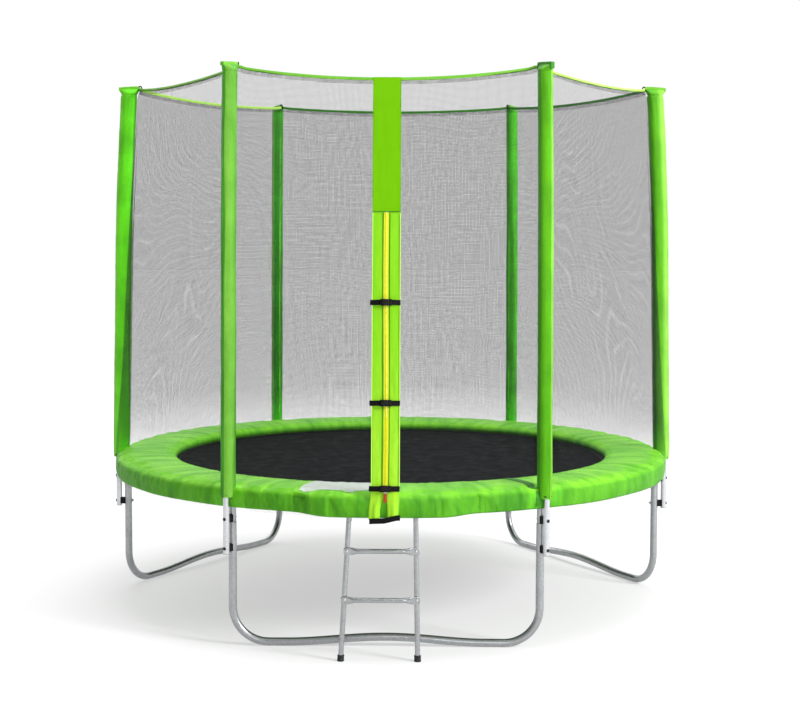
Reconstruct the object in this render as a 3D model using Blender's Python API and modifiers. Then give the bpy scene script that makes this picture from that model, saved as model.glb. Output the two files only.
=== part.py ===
"""Backyard trampoline with a net enclosure, a zipped entrance and a hook-on ladder.

Units are metres, +Z is up and the entrance faces -Y. The origin is on the ground under the centre of
the frame ring. An azimuth is an angle in degrees round the ring: 0 is the front, 90 is the right (+X).
"""
import math

import bmesh
import bpy
from mathutils import Matrix, Vector

# ---- frame ring, its stubs and the legs
RING_RADIUS = 1.208
RING_Z = 0.591
RING_TUBE = 0.019
RING_JOINT_GAP = 0.0003          # each rail stops this short of the joint
SPIGOT_TUBE = 0.0155             # swaged end that enters the next rail
SPIGOT_REACH = 2.1               # degrees past the joint
STUB_TUBE = 0.0145               # welded stub, above the leg
STUB_SWAGE = 0.0128              # its swaged end, inside the leg
STUB_END_Z = 0.430
LEG_TUBE = 0.016
LEG_TOP_Z = 0.494
LEG_BEND = 0.140
LEG_FLAT = 0.060                 # level stretch that stands on the ground, each side
LEG_ARCH = 0.022                 # rise of the bottom bar at mid-span
SECTOR = 60.0                    # degrees between two poles

# ---- enclosure poles
POLE_RING_RADIUS = 1.250
POLE_TUBE = 0.0125
POLE_BOTTOM_Z = 0.371
POLE_JOINT_Z = 1.300
POLE_TOP_Z = 2.232
POLE_LEAN_Z = 0.640              # the poles lean inwards above this height
POLE_LEAN = 0.018
POLE_BEND_Z = 1.500              # and bend inwards above this one
POLE_BEND = 0.035
END_LEAN = 0.42                  # share of that lean and bend which the front and back poles have
POLE_CURVE_Z = [1.50, 1.75, 2.00]
POLE_SPIGOT = 0.0103
POLE_SPIGOT_LENGTH = 0.060
SPACER_Z = {"upper": 0.510, "lower": 0.394}
SPACER_HEIGHT = 0.029
SPACER_WIDTH = 0.022

# ---- foam sleeves
SLEEVE_BOTTOM_Z = 0.597
SLEEVE_TOP_Z = 2.287
SLEEVE_CENTRE = -0.012           # from the pole's axis, outwards
SLEEVE_RADIAL = 0.035
SLEEVE_TANGENT = 0.027
SLEEVE_NECK_Z = 2.200            # the sleeve flattens above this height, to its sewn top
SLEEVE_CUT_RADIUS = 1.180        # its lower end is cut away from here outwards, to clear the pad
SLEEVE_CUT_Z = 0.655
SLEEVE_CLEARS_PAD_Z = 0.632
# height, radial and tangential half width and centre of the sewn top's sections
SLEEVE_TOP = [(2.243, 0.038, 0.020, -0.012), (2.266, 0.045, 0.009, -0.010),
              (SLEEVE_TOP_Z, 0.0455, 0.007, -0.010)]

# ---- mat, springs and pad
MAT_RADIUS = 0.9895
MAT_Z = 0.598
MAT_THICKNESS = 0.003
BAND_OUTER = 1.0125
BAND_THICKNESS = 0.0045
SPRINGS_PER_ROW = 16
ROW_SPAN = 120.0
SPRING_COIL = 0.009
# radius from the ring's centre, half width and half thickness: V-ring, coil and ring hook
SPRING_STATIONS = [(1.0119, 0.019, 0.0013), (1.045, 0.004, 0.0013), (1.049, SPRING_COIL, SPRING_COIL),
                   (1.168, SPRING_COIL, SPRING_COIL), (1.172, 0.002, 0.002), (1.1885, 0.002, 0.002)]
MAT_SIDES = 72
PAD_INNER = 0.975
PAD_OUTER = 1.2355
PAD_BOTTOM_Z = 0.6185
PAD_INNER_Z, PAD_CROWN_Z, PAD_EDGE_Z = 0.633, 0.640, 0.638
PAD_CROWN_RADIUS = 1.080
PAD_STEP = 5                     # degrees
SKIRT_THICKNESS = 0.004
SKIRT_BOTTOM_Z = 0.556
ENTRANCE_BULGE = 0.022           # the skirt stands out here to clear the ladder
ENTRANCE_DROP = 0.008
BULGE_FULL, BULGE_END = 10.0, 17.0

# ---- net and entrance
NET_THICKNESS = 0.003
NET_STANDOFF = 0.008             # outside the skirt
NET_CORNER = 0.049               # inside the pole's axis
NET_CORNER_CAP = 0.058           # the same, beside the sleeve's sewn top
NET_RULED_Z, NET_TOP_Z = 0.640, 2.276
FRONT_SAG, OTHER_SAG = 0.050, 0.024
NET_LOW_Z = 0.548
NET_OVER_PAD_Z = 0.645
DOOR_LEFT, DOOR_RIGHT, ZIP_X = -0.054, 0.054, 0.000
DOOR_BOTTOM_Z, DOOR_TOP_Z = 0.545, 1.700
ZIP_GAP = 0.0005
BUCKLE_Z = {"top": 1.360, "middle": 0.980, "bottom": 0.660}
BUCKLE_BACK, BUCKLE_FRONT = 0.008, 0.016      # out from the cloth
BUCKLE_HALF = 0.0125             # half height, and of its hollow and of its prongs
BUCKLE_HOLLOW, PRONG_HALF = 0.0095, 0.0091
STRAP_THICKNESS = 0.0015
SLIDER_Z = 0.652

# ---- ladder
LADDER_AXIS_Y = -1.2008
LADDER_RAILS = {"left": (-0.169, -0.1377), "right": (0.1245, 0.1155)}   # x at the foot and at the top
LADDER_TOP_Z = 0.5635
LADDER_FOOT_Y = -1.262
LADDER_TUBE = 0.010
HOOK_INNER, HOOK_OUTER = 0.0235, 0.0265
HOOK_WIDTH = 0.020
RUNG_Z = {"upper": 0.4195, "lower": 0.2335}
RUNG_TUBE = 0.0095
RUNG_FLAT_HIGH, RUNG_FLAT_DEEP = 0.015, 0.0015   # half sizes of its flattened ends
RUNG_OVERHANG = 0.013
FOOT_RADIUS, FOOT_HEIGHT = 0.0135, 0.024

GAP = 0.0003                     # between pieces that touch
TUBE_SIDES = 10
POLES = {"front_left": -30, "front_right": 30, "right": 90,
         "back_right": 150, "back_left": -150, "left": -90}
THIRDS = {"front": 0, "back_right": 120, "back_left": -120}


# ---- scene helpers
def clear_scene():
    for thing in list(bpy.data.objects):
        bpy.data.objects.remove(thing, do_unlink=True)


def collection(name):
    made = bpy.data.collections.new(name)
    bpy.context.scene.collection.children.link(made)
    return made


def material(name, colour, roughness, metallic=0.0):
    made = bpy.data.materials.new(name)
    made.use_nodes = True
    shader = made.node_tree.nodes["Principled BSDF"]
    shader.inputs["Base Color"].default_value = (*colour, 1.0)
    shader.inputs["Roughness"].default_value = roughness
    shader.inputs["Metallic"].default_value = metallic
    return made


def make(name, mesh, finish, azimuth=0.0):
    """Put a mesh in the scene as a named piece, turned round the ring to its azimuth."""
    piece = bpy.data.objects.new(name, mesh)
    piece.rotation_euler = (0.0, 0.0, math.radians(azimuth))
    if not mesh.materials:
        mesh.materials.append(finish)
    PARTS.objects.link(piece)
    return piece


def guide(name, mesh, matrix=Matrix()):
    """A helper object that only shapes other pieces."""
    made = bpy.data.objects.new(name, mesh)
    made.matrix_world = matrix
    made.hide_render = True
    made.display_type = "WIRE"
    CUTTERS.objects.link(made)
    return made


def from_bmesh(name, bm):
    mesh = bpy.data.meshes.new(name)
    bm.to_mesh(mesh)
    bm.free()
    return mesh


def baked(name, piece):
    """The evaluated mesh of an object, in world space, with loose curve caps welded."""
    bpy.context.view_layer.update()
    graph = bpy.context.evaluated_depsgraph_get()
    mesh = bpy.data.meshes.new_from_object(piece.evaluated_get(graph), depsgraph=graph)
    mesh.name = name
    bm = bmesh.new()
    bm.from_mesh(mesh)
    bmesh.ops.remove_doubles(bm, verts=bm.verts, dist=0.00001)
    bmesh.ops.transform(bm, matrix=piece.matrix_world, verts=bm.verts)
    bmesh.ops.recalc_face_normals(bm, faces=bm.faces)
    bm.to_mesh(mesh)
    bm.free()
    mesh.materials.clear()
    return mesh


def shade(mesh, angle=35.0):
    mesh.shade_smooth()
    mesh.set_sharp_from_angle(angle=math.radians(angle))
    return mesh


def combine(name, base, steps):
    """Bake base, a mesh, after joining or cutting it with each (operation, mesh) in turn."""
    body = guide(name + "_base", base)
    helpers = [body]
    for operation, other in steps:
        helper = guide(name + "_step", other)
        helpers.append(helper)
        step = body.modifiers.new(operation, "BOOLEAN")
        step.operation = operation
        step.solver = "EXACT"
        step.object = helper
    mesh = baked(name, body)
    for helper in helpers:
        bpy.data.objects.remove(helper, do_unlink=True)
    return mesh


# ---- shape helpers
def polar(radius, azimuth, z):
    turn = math.radians(azimuth)
    return Vector((radius * math.sin(turn), -radius * math.cos(turn), z))


def smooth(value, start, end):
    t = min(1.0, max(0.0, (value - start) / (end - start)))
    return t * t * (3.0 - 2.0 * t)


def bore_for(shaft):
    """Radius of a faceted hole that clears a faceted shaft whichever way its facets lie."""
    return shaft / math.cos(math.pi / TUBE_SIDES) + GAP


def tube(name, points, radius, tilt=0.0):
    """A round tube along straight stretches between points, with closed ends."""
    curve = bpy.data.curves.new(name, "CURVE")
    curve.dimensions = "3D"
    curve.bevel_depth = radius
    curve.bevel_resolution = TUBE_SIDES // 2 - 2
    curve.use_fill_caps = True
    line = curve.splines.new("POLY")
    line.points.add(len(points) - 1)
    for place, point in zip(line.points, points):
        place.co = (*point, 1.0)
        place.tilt = tilt
    helper = guide(name, curve)
    mesh = baked(name, helper)
    bpy.data.objects.remove(helper, do_unlink=True)
    return mesh


def rod(name, start, end, radius, sides=TUBE_SIDES):
    bm = bmesh.new()
    along = Vector(end) - Vector(start)
    turn = along.to_track_quat("Z", "Y").to_matrix().to_4x4()
    place = Matrix.Translation((Vector(start) + Vector(end)) / 2) @ turn
    bmesh.ops.create_cone(bm, cap_ends=True, segments=sides, radius1=radius, radius2=radius,
                          depth=along.length, matrix=place)
    return from_bmesh(name, bm)


def block(name, low, high, matrix=Matrix()):
    """A box between two corners of the frame that matrix gives."""
    low, high = Vector(low), Vector(high)
    bm = bmesh.new()
    size = Matrix.Diagonal((*(high - low), 1.0))
    bmesh.ops.create_cube(bm, size=1.0, matrix=matrix @ Matrix.Translation((low + high) / 2) @ size)
    return from_bmesh(name, bm)


def plate(name, outline, thickness, matrix):
    """A flat outline, drawn in matrix's XY plane, thickened evenly along its Z."""
    curve = bpy.data.curves.new(name, "CURVE")
    curve.dimensions = "2D"
    curve.fill_mode = "BOTH"
    curve.extrude = thickness / 2
    line = curve.splines.new("POLY")
    line.points.add(len(outline) - 1)
    for place, (x, y) in zip(line.points, outline):
        place.co = (x, y, 0.0, 1.0)
    line.use_cyclic_u = True
    helper = guide(name, curve, matrix)
    mesh = baked(name, helper)
    bpy.data.objects.remove(helper, do_unlink=True)
    return mesh


def loft(name, rings, ring_closed=False):
    """Skin unlike sections of equal point count. With ring_closed the last joins the first."""
    bm = bmesh.new()
    made = [[bm.verts.new(point) for point in ring] for ring in rings]
    count = len(rings[0])
    for k in range(len(made) if ring_closed else len(made) - 1):
        one, two = made[k], made[(k + 1) % len(made)]
        for i in range(count):
            bm.faces.new((one[i], one[(i + 1) % count], two[(i + 1) % count], two[i]))
    if not ring_closed:
        bm.faces.new(made[0])
        bm.faces.new(made[-1])
    bmesh.ops.recalc_face_normals(bm, faces=bm.faces)
    return from_bmesh(name, bm)


def oval(count=12):
    return [(math.cos(2 * math.pi * i / count), math.sin(2 * math.pi * i / count)) for i in range(count)]


# ---- frame
def build_top_rails(finish):
    """Six rails. Each has a welded stub for a leg, a bored end and a swaged end."""
    half = SECTOR / 2 - math.degrees(RING_JOINT_GAP / RING_RADIUS)
    # the short first and last stretches square the ends to the ring
    turns = [-half, 0.4 - half] + [5.0 * k for k in range(-5, 6)] + [half - 0.4, half]
    arc = [polar(RING_RADIUS, turn, RING_Z) for turn in turns]
    swage = [polar(RING_RADIUS, SECTOR / 2 + turn, RING_Z) for turn in (-1.0, SPIGOT_REACH)]
    bore = [polar(RING_RADIUS, -SECTOR / 2 + turn, RING_Z) for turn in (-1.0, SPIGOT_REACH)]
    bore[1] = bore[1] + (bore[1] - bore[0]).normalized() * 0.003
    stub_top = polar(RING_RADIUS, 0, RING_Z)
    stub_low = polar(RING_RADIUS, 0, LEG_TOP_Z + GAP)
    swage_top, swage_low = stub_low + Vector((0, 0, 0.004)), polar(RING_RADIUS, 0, STUB_END_Z)
    mesh = combine("top_rail", tube("rail_arc", arc, RING_TUBE), [
        ("UNION", rod("stub", stub_top, stub_low, STUB_TUBE)),
        ("UNION", rod("stub_swage", swage_top, swage_low, STUB_SWAGE)),
        ("UNION", rod("spigot", swage[0], swage[1], SPIGOT_TUBE)),
        ("DIFFERENCE", rod("rail_bore", bore[0], bore[1], bore_for(SPIGOT_TUBE)))])
    shade(mesh)
    for place, azimuth in POLES.items():
        make("top_rail_" + place, mesh, finish, azimuth)


def build_legs(finish):
    """Three bent-tube legs, each standing under two poles."""
    reach = RING_RADIUS * math.sin(math.radians(SECTOR / 2))
    depth = -RING_RADIUS * math.cos(math.radians(SECTOR / 2))
    ground = LEG_TUBE * math.cos(math.pi / TUBE_SIDES)
    flat = reach - LEG_BEND - LEG_FLAT
    bend_steps, arch_steps = 7, 5
    side = [(reach, LEG_TOP_Z)]
    for k in range(bend_steps + 1):
        turn = math.pi / 2 * k / bend_steps
        side.append((reach - LEG_BEND + LEG_BEND * math.cos(turn),
                     ground + LEG_BEND - LEG_BEND * math.sin(turn)))
    for k in range(arch_steps):
        along = flat * (1 - k / arch_steps)
        side.append((along, ground + LEG_ARCH * (1 + math.cos(math.pi * along / flat)) / 2))
    path = [Vector((-x, depth, z)) for x, z in side]
    path += [Vector((0, depth, ground + LEG_ARCH))]
    path += [Vector((x, depth, z)) for x, z in reversed(side)]
    bores = []
    for x in (-reach, reach):
        top, low = (x, depth, LEG_TOP_Z + 0.01), (x, depth, STUB_END_Z - 0.005)
        bores.append(("DIFFERENCE", rod("leg_bore", top, low, bore_for(STUB_SWAGE))))
    # tilted by half a side, so that a flat side of the tube faces the ground
    mesh = shade(combine("leg", tube("leg_tube", path, LEG_TUBE, math.pi / TUBE_SIDES), bores))
    for place, azimuth in THIRDS.items():
        make("leg_" + place, mesh, finish, azimuth)


# ---- enclosure poles
def lean_share(azimuth):
    """1 at the side poles and END_LEAN at the front and back ones, evenly changing between them."""
    from_side = abs(abs((azimuth + 180.0) % 360.0 - 180.0) - 90.0)
    return END_LEAN + (1.0 - END_LEAN) * max(0.0, 1.0 - from_side / SECTOR)


def pole_radius(z, azimuth):
    lean = POLE_LEAN * max(0.0, z - POLE_LEAN_Z) + POLE_BEND * max(0.0, z - POLE_BEND_Z) ** 2
    return POLE_RING_RADIUS - lean * lean_share(azimuth)


def pole_path(heights, azimuth):
    """Points of a pole's axis, in the plane of azimuth 0."""
    return [polar(pole_radius(z, azimuth), 0, z) for z in heights]


def lower_pole(azimuth):
    spigot = pole_path([POLE_JOINT_Z - 0.02, POLE_JOINT_Z + POLE_SPIGOT_LENGTH], azimuth)
    shaft = tube("pole", pole_path([POLE_BOTTOM_Z, POLE_LEAN_Z, POLE_JOINT_Z], azimuth), POLE_TUBE)
    return combine("pole_lower", shaft, [("UNION", rod("spigot", spigot[0], spigot[1], POLE_SPIGOT))])


def upper_pole(azimuth):
    bore = pole_path([POLE_JOINT_Z - 0.01, POLE_JOINT_Z + POLE_SPIGOT_LENGTH + 0.003], azimuth)
    shaft = tube("pole", pole_path([POLE_JOINT_Z + GAP] + POLE_CURVE_Z + [POLE_TOP_Z], azimuth), POLE_TUBE)
    hollow = rod("bore", bore[0], bore[1], bore_for(POLE_SPIGOT))
    return combine("pole_upper", shaft, [("DIFFERENCE", hollow)])


def pole_sleeve(azimuth):
    """A foam sleeve round a pole, flattened at its sewn top."""
    def section(z, radial, tangent, centre):
        middle = pole_radius(z, azimuth) + centre
        return [Vector((tangent * b, -(middle + radial * a), z)) for a, b in oval()]

    heights = [SLEEVE_BOTTOM_Z, 0.70, POLE_JOINT_Z] + POLE_CURVE_Z + [SLEEVE_NECK_Z]
    rings = [section(z, SLEEVE_RADIAL, SLEEVE_TANGENT, SLEEVE_CENTRE) for z in heights]
    rings += [section(*size) for size in SLEEVE_TOP]
    path = pole_path([0.55, POLE_LEAN_Z, POLE_JOINT_Z] + POLE_CURVE_Z + [POLE_TOP_Z + 0.004], azimuth)
    clearance = tube("sleeve_bore", path, bore_for(POLE_TUBE) + GAP)
    # the foam stops above the pad on its inner side, so its lower end is cut away there
    cut_radius = POLE_RING_RADIUS - POLE_TUBE - GAP
    outline = [(SLEEVE_CUT_RADIUS, 0.55), (cut_radius, 0.55),
               (cut_radius, SLEEVE_CLEARS_PAD_Z), (SLEEVE_CUT_RADIUS, SLEEVE_CUT_Z)]
    upright = Matrix(((0, 0, 1, 0), (-1, 0, 0, 0), (0, 1, 0, 0), (0, 0, 0, 1)))
    return combine("pole_sleeve", loft("sleeve", rings),
                   [("DIFFERENCE", clearance), ("DIFFERENCE", plate("pad_room", outline, 0.09, upright))])


def pole_spacer(level):
    """A block between leg and pole, hollowed to fit a tube on each side."""
    height = SPACER_Z[level]
    tube_radius = STUB_TUBE if level == "upper" else LEG_TUBE
    low = Vector((-SPACER_WIDTH / 2, -(POLE_RING_RADIUS - 0.006), height - SPACER_HEIGHT / 2))
    high = Vector((SPACER_WIDTH / 2, -(RING_RADIUS + tube_radius - 0.005), height + SPACER_HEIGHT / 2))
    steps = []
    saddle_sides = 16
    for radius, size in ((RING_RADIUS, tube_radius), (POLE_RING_RADIUS, POLE_TUBE)):
        ends = [polar(radius, 0, height + offset) for offset in (-0.03, 0.03)]
        hollow = (size + GAP) / math.cos(math.pi / saddle_sides)
        steps.append(("DIFFERENCE", rod("saddle", ends[0], ends[1], hollow, saddle_sides)))
    return combine("pole_spacer", block("spacer", low, high), steps)


def build_poles(steel, sleeve_cover, plastic):
    spacers = {level: shade(pole_spacer(level)) for level in SPACER_Z}
    made = {}
    for place, azimuth in POLES.items():
        share = lean_share(azimuth)
        if share not in made:
            made[share] = [shade(shape(azimuth)) for shape in (lower_pole, upper_pole, pole_sleeve)]
        lower, upper, sleeve = made[share]
        make("pole_lower_" + place, lower, steel, azimuth)
        make("pole_upper_" + place, upper, steel, azimuth)
        make("pole_sleeve_" + place, sleeve, sleeve_cover, azimuth)
        for level, mesh in spacers.items():
            make("pole_spacer_" + level + "_" + place, mesh, plastic, azimuth)


# ---- jumping surface
def build_mat(finish):
    low = Vector((0, 0, MAT_Z - MAT_THICKNESS / 2))
    mesh = rod("jump_mat", low, low + Vector((0, 0, MAT_THICKNESS)), MAT_RADIUS, MAT_SIDES)
    make("jump_mat", mesh, finish)


def build_spring_rows(finish):
    """Each row is the mat's sewn edge band, its V-rings and the springs that pull it to the ring."""
    half = ROW_SPAN / 2
    edge = half - math.degrees(GAP / RING_RADIUS)
    turns = [-edge] + [-half + 5 * k for k in range(1, int(ROW_SPAN / 5))] + [edge]
    inner, top, low = MAT_RADIUS + GAP, MAT_Z + BAND_THICKNESS / 2, MAT_Z - BAND_THICKNESS / 2
    band = loft("band", [[polar(inner, turn, low), polar(BAND_OUTER, turn, low),
                          polar(BAND_OUTER, turn, top), polar(inner, turn, top)] for turn in turns])
    springs = bmesh.new()
    spacing = ROW_SPAN / SPRINGS_PER_ROW
    for k in range(SPRINGS_PER_ROW):
        turn = Matrix.Rotation(math.radians(-half + spacing * (k + 0.5)), 4, "Z")
        rings = [[turn @ Vector((wide * a, -radius, MAT_Z + thick * b)) for a, b in oval(6)]
                 for radius, wide, thick in SPRING_STATIONS]
        springs.from_mesh(loft("spring", rings))
    mesh = combine("spring_row", band, [("UNION", from_bmesh("springs", springs))])
    for place, azimuth in THIRDS.items():
        make("spring_row_" + place, mesh, finish, azimuth)


def entrance(azimuth):
    """1 in front of the ladder, 0 elsewhere."""
    return 1.0 - smooth(abs(azimuth), BULGE_FULL, BULGE_END)


def skirt_radius(azimuth):
    return PAD_OUTER + ENTRANCE_BULGE * entrance(azimuth)


def build_pad(finish):
    rings = []
    for k in range(360 // PAD_STEP):
        azimuth = -180.0 + PAD_STEP * k
        outer = skirt_radius(azimuth)
        hem = SKIRT_BOTTOM_Z - ENTRANCE_DROP * entrance(azimuth)
        profile = [(PAD_INNER, PAD_BOTTOM_Z), (PAD_INNER, PAD_INNER_Z), (PAD_CROWN_RADIUS, PAD_CROWN_Z),
                   (outer - 0.020, PAD_EDGE_Z), (outer - 0.001, PAD_EDGE_Z - 0.009), (outer, hem),
                   (outer - SKIRT_THICKNESS, hem), (outer - SKIRT_THICKNESS, PAD_BOTTOM_Z)]
        rings.append([polar(radius, azimuth, z) for radius, z in profile])
    make("safety_pad", shade(loft("safety_pad", rings, ring_closed=True)), finish)


# ---- net enclosure
def net_corner(z, azimuth):
    cap = smooth(z, 2.20, 2.245)
    return pole_radius(z, azimuth) - NET_CORNER - (NET_CORNER_CAP - NET_CORNER) * cap


def net_outline(azimuth):
    """Radius of the net's lower part: outside the skirt, but behind the sleeve at each pole."""
    from_pole = abs((azimuth % SECTOR) - SECTOR / 2)
    low = net_corner(NET_RULED_Z, azimuth)
    return low + (skirt_radius(azimuth) + NET_STANDOFF - low) * smooth(from_pole, 1.5, 5.0)


def net_point(middle, azimuth, across, depth, z):
    """A point of the ruled net panel whose middle faces the azimuth middle.

    across and depth place it on the lower outline, in the panel's own directions. Higher up, the
    panel narrows with its poles and flattens to a straight chord.
    """
    cosine = math.cos(math.radians(SECTOR / 2))
    low, here = net_corner(NET_RULED_Z, azimuth), net_corner(z, azimuth)
    flat = min(1.0, max(0.0, (z - NET_RULED_Z) / (NET_TOP_Z - NET_RULED_Z)))
    away = here * cosine + (1.0 - flat) * (depth - low * cosine)
    turn = Matrix.Rotation(math.radians(middle), 3, "Z")
    return turn @ Vector((across * here / low, -away, z))


def door_point(x, z):
    """A point of the front panel at a set x, where the entrance strips run straight up."""
    low, here = net_corner(NET_RULED_Z, 0.0), net_corner(z, 0.0)
    across = x * low / here
    depth = math.sqrt((skirt_radius(0) + NET_STANDOFF) ** 2 - across ** 2)
    return net_point(0, 0.0, across, depth, z)


def net_column(middle, offset, heights):
    """Points up the panel at an azimuth offset from its middle, between its two edges."""
    by_pole = 1.0 - smooth(SECTOR / 2 - abs(offset), 5.0, 7.5)
    low = NET_LOW_Z + (NET_OVER_PAD_Z - NET_LOW_Z) * by_pole
    sag = FRONT_SAG if middle == 0 else OTHER_SAG
    top = NET_TOP_Z - sag * (1.0 - (offset / (SECTOR / 2)) ** 2)
    radius, turn = net_outline(middle + offset), math.radians(offset)
    return [net_point(middle, middle + offset, radius * math.sin(turn), radius * math.cos(turn), z)
            for z in [low] + heights + [top]]


def build_net(finish):
    heights = [NET_OVER_PAD_Z + 0.015, 1.35, DOOR_TOP_Z, 2.0, 2.2]
    offsets = [-30.0, -28.5, -26.8, -25.0, -22.5, -15.0, -10.0, -5.0,
               0.0, 5.0, 10.0, 15.0, 22.5, 25.0, 26.8, 28.5]
    bm = bmesh.new()
    columns, door_gap = [], None
    for middle in (-180, -120, -60, 0, 60, 120):
        for offset in offsets:
            if middle == 0 and offset == 0.0:
                door_gap = len(columns)
                edge_heights = [NET_LOW_Z] + heights + [NET_TOP_Z - FRONT_SAG]
                for x in (DOOR_LEFT - GAP, DOOR_RIGHT + GAP):
                    columns.append([door_point(x, z) for z in edge_heights])
            else:
                columns.append(net_column(middle, offset, heights))
    made = [[bm.verts.new(point) for point in column] for column in columns]
    slit_rows = 1 + heights.index(DOOR_TOP_Z)
    for k in range(len(made)):
        one, two = made[k], made[(k + 1) % len(made)]
        for row in range(len(one) - 1):
            if k == door_gap and row < slit_rows:
                continue
            bm.faces.new((one[row], two[row], two[row + 1], one[row + 1]))
    bmesh.ops.recalc_face_normals(bm, faces=bm.faces)
    net = make("enclosure_net", from_bmesh("enclosure_net", bm), finish)
    thicken(net)


def thicken(piece):
    """Give an open sheet its thickness, towards the inside of the enclosure."""
    mesh = piece.data
    face = mesh.polygons[0]
    outwards = face.normal.dot(Vector((face.center.x, face.center.y, 0.0))) > 0.0
    solid = piece.modifiers.new("thickness", "SOLIDIFY")
    solid.thickness = NET_THICKNESS
    solid.offset = -1.0 if outwards else 1.0


def build_door_flaps(finish):
    heights = [DOOR_BOTTOM_Z, NET_OVER_PAD_Z + 0.015, 1.35, DOOR_TOP_Z - ZIP_GAP]
    sides = {"left": (DOOR_LEFT, ZIP_X - ZIP_GAP), "right": (ZIP_X + ZIP_GAP, DOOR_RIGHT)}
    for side, (start, end) in sides.items():
        bm = bmesh.new()
        columns = [[bm.verts.new(door_point(x, z)) for z in heights]
                   for x in (start, (start + end) / 2, end)]
        for one, two in zip(columns, columns[1:]):
            for row in range(len(heights) - 1):
                bm.faces.new((one[row], two[row], two[row + 1], one[row + 1]))
        bmesh.ops.recalc_face_normals(bm, faces=bm.faces)
        thicken(make("entrance_flap_" + side, from_bmesh("entrance_flap", bm), finish))


def door_frame(z):
    """A frame on the entrance at x = 0: X to the right, Y outwards from the cloth, Z up along it."""
    low, high = door_point(0.0, NET_OVER_PAD_Z + 0.015), door_point(0.0, DOOR_TOP_Z)
    up = (high - low).normalized()
    out = Vector((0.0, -up.z, up.y))
    start = door_point(0.0, z)
    return Matrix(((-1.0, out.x, up.x, start.x), (0.0, out.y, up.y, start.y),
                   (0.0, out.z, up.z, start.z), (0.0, 0.0, 0.0, 1.0)))


def build_zip_slider(finish):
    frame = door_frame(SLIDER_Z)
    body = block("slider", (-ZIP_X - 0.006, 0.0013, -0.008), (-ZIP_X + 0.006, 0.0062, 0.008), frame)
    pull = block("pull", (-ZIP_X - 0.004, 0.0046, -0.049), (-ZIP_X + 0.004, 0.0064, -0.004), frame)
    make("zip_slider", combine("zip_slider", body, [("UNION", pull)]), finish)


def build_buckles(finish):
    """Side-release buckles. The socket's strap starts at the left edge, the plug's at the right."""
    strap_x = {"socket": (DOOR_LEFT - 0.002, -0.040, -0.020), "plug": (DOOR_RIGHT + 0.004, 0.038, 0.020)}
    shell = (BUCKLE_BACK, BUCKLE_FRONT)
    for place, height in BUCKLE_Z.items():
        frame = door_frame(height)

        def box(x, out, half):
            return block("box", (-x[1], out[0], -half), (-x[0], out[1], half), frame)

        def slot(x, low, high):
            back, front = BUCKLE_BACK + 0.001, BUCKLE_FRONT - 0.001
            return block("slot", (-x[1], back, low), (-x[0], front, high), frame)

        def strap(kind):
            end, bend, near = strap_x[kind]
            under = [(end, 0.0008), (bend, 0.0008), (near, 0.0112)]
            outline = under + [(x, out + STRAP_THICKNESS) for x, out in reversed(under)]
            return plate("strap", [(-x, out) for x, out in outline], 0.020, frame)

        socket = combine("socket", box((-0.022, 0.008), shell, BUCKLE_HALF), [
            ("UNION", strap("socket")),
            ("DIFFERENCE", box((-0.016, 0.009), (0.0097, 0.0143), BUCKLE_HOLLOW)),
            ("DIFFERENCE", box((-0.010, -0.002), (0.0097, 0.0143), BUCKLE_HALF + 0.0015))])
        plug = combine("plug", box((0.0085, 0.022), shell, BUCKLE_HALF), [
            ("UNION", strap("plug")),
            ("UNION", box((-0.012, 0.0095), (0.0101, 0.0139), PRONG_HALF)),
            ("DIFFERENCE", slot((-0.013, 0.008), 0.0035, 0.0055)),
            ("DIFFERENCE", slot((-0.013, 0.008), -0.0055, -0.0035))])
        make("buckle_socket_" + place, socket, finish)
        make("buckle_plug_" + place, plug, finish)


# ---- ladder
def ladder_y(z):
    top = LADDER_AXIS_Y - (HOOK_INNER + HOOK_OUTER) / 2
    return LADDER_FOOT_Y + (top - LADDER_FOOT_Y) * z / LADDER_TOP_Z


def rail_point(side, z):
    foot, top = LADDER_RAILS[side]
    return Vector((foot + (top - foot) * z / LADDER_TOP_Z, ladder_y(z), z))


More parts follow.
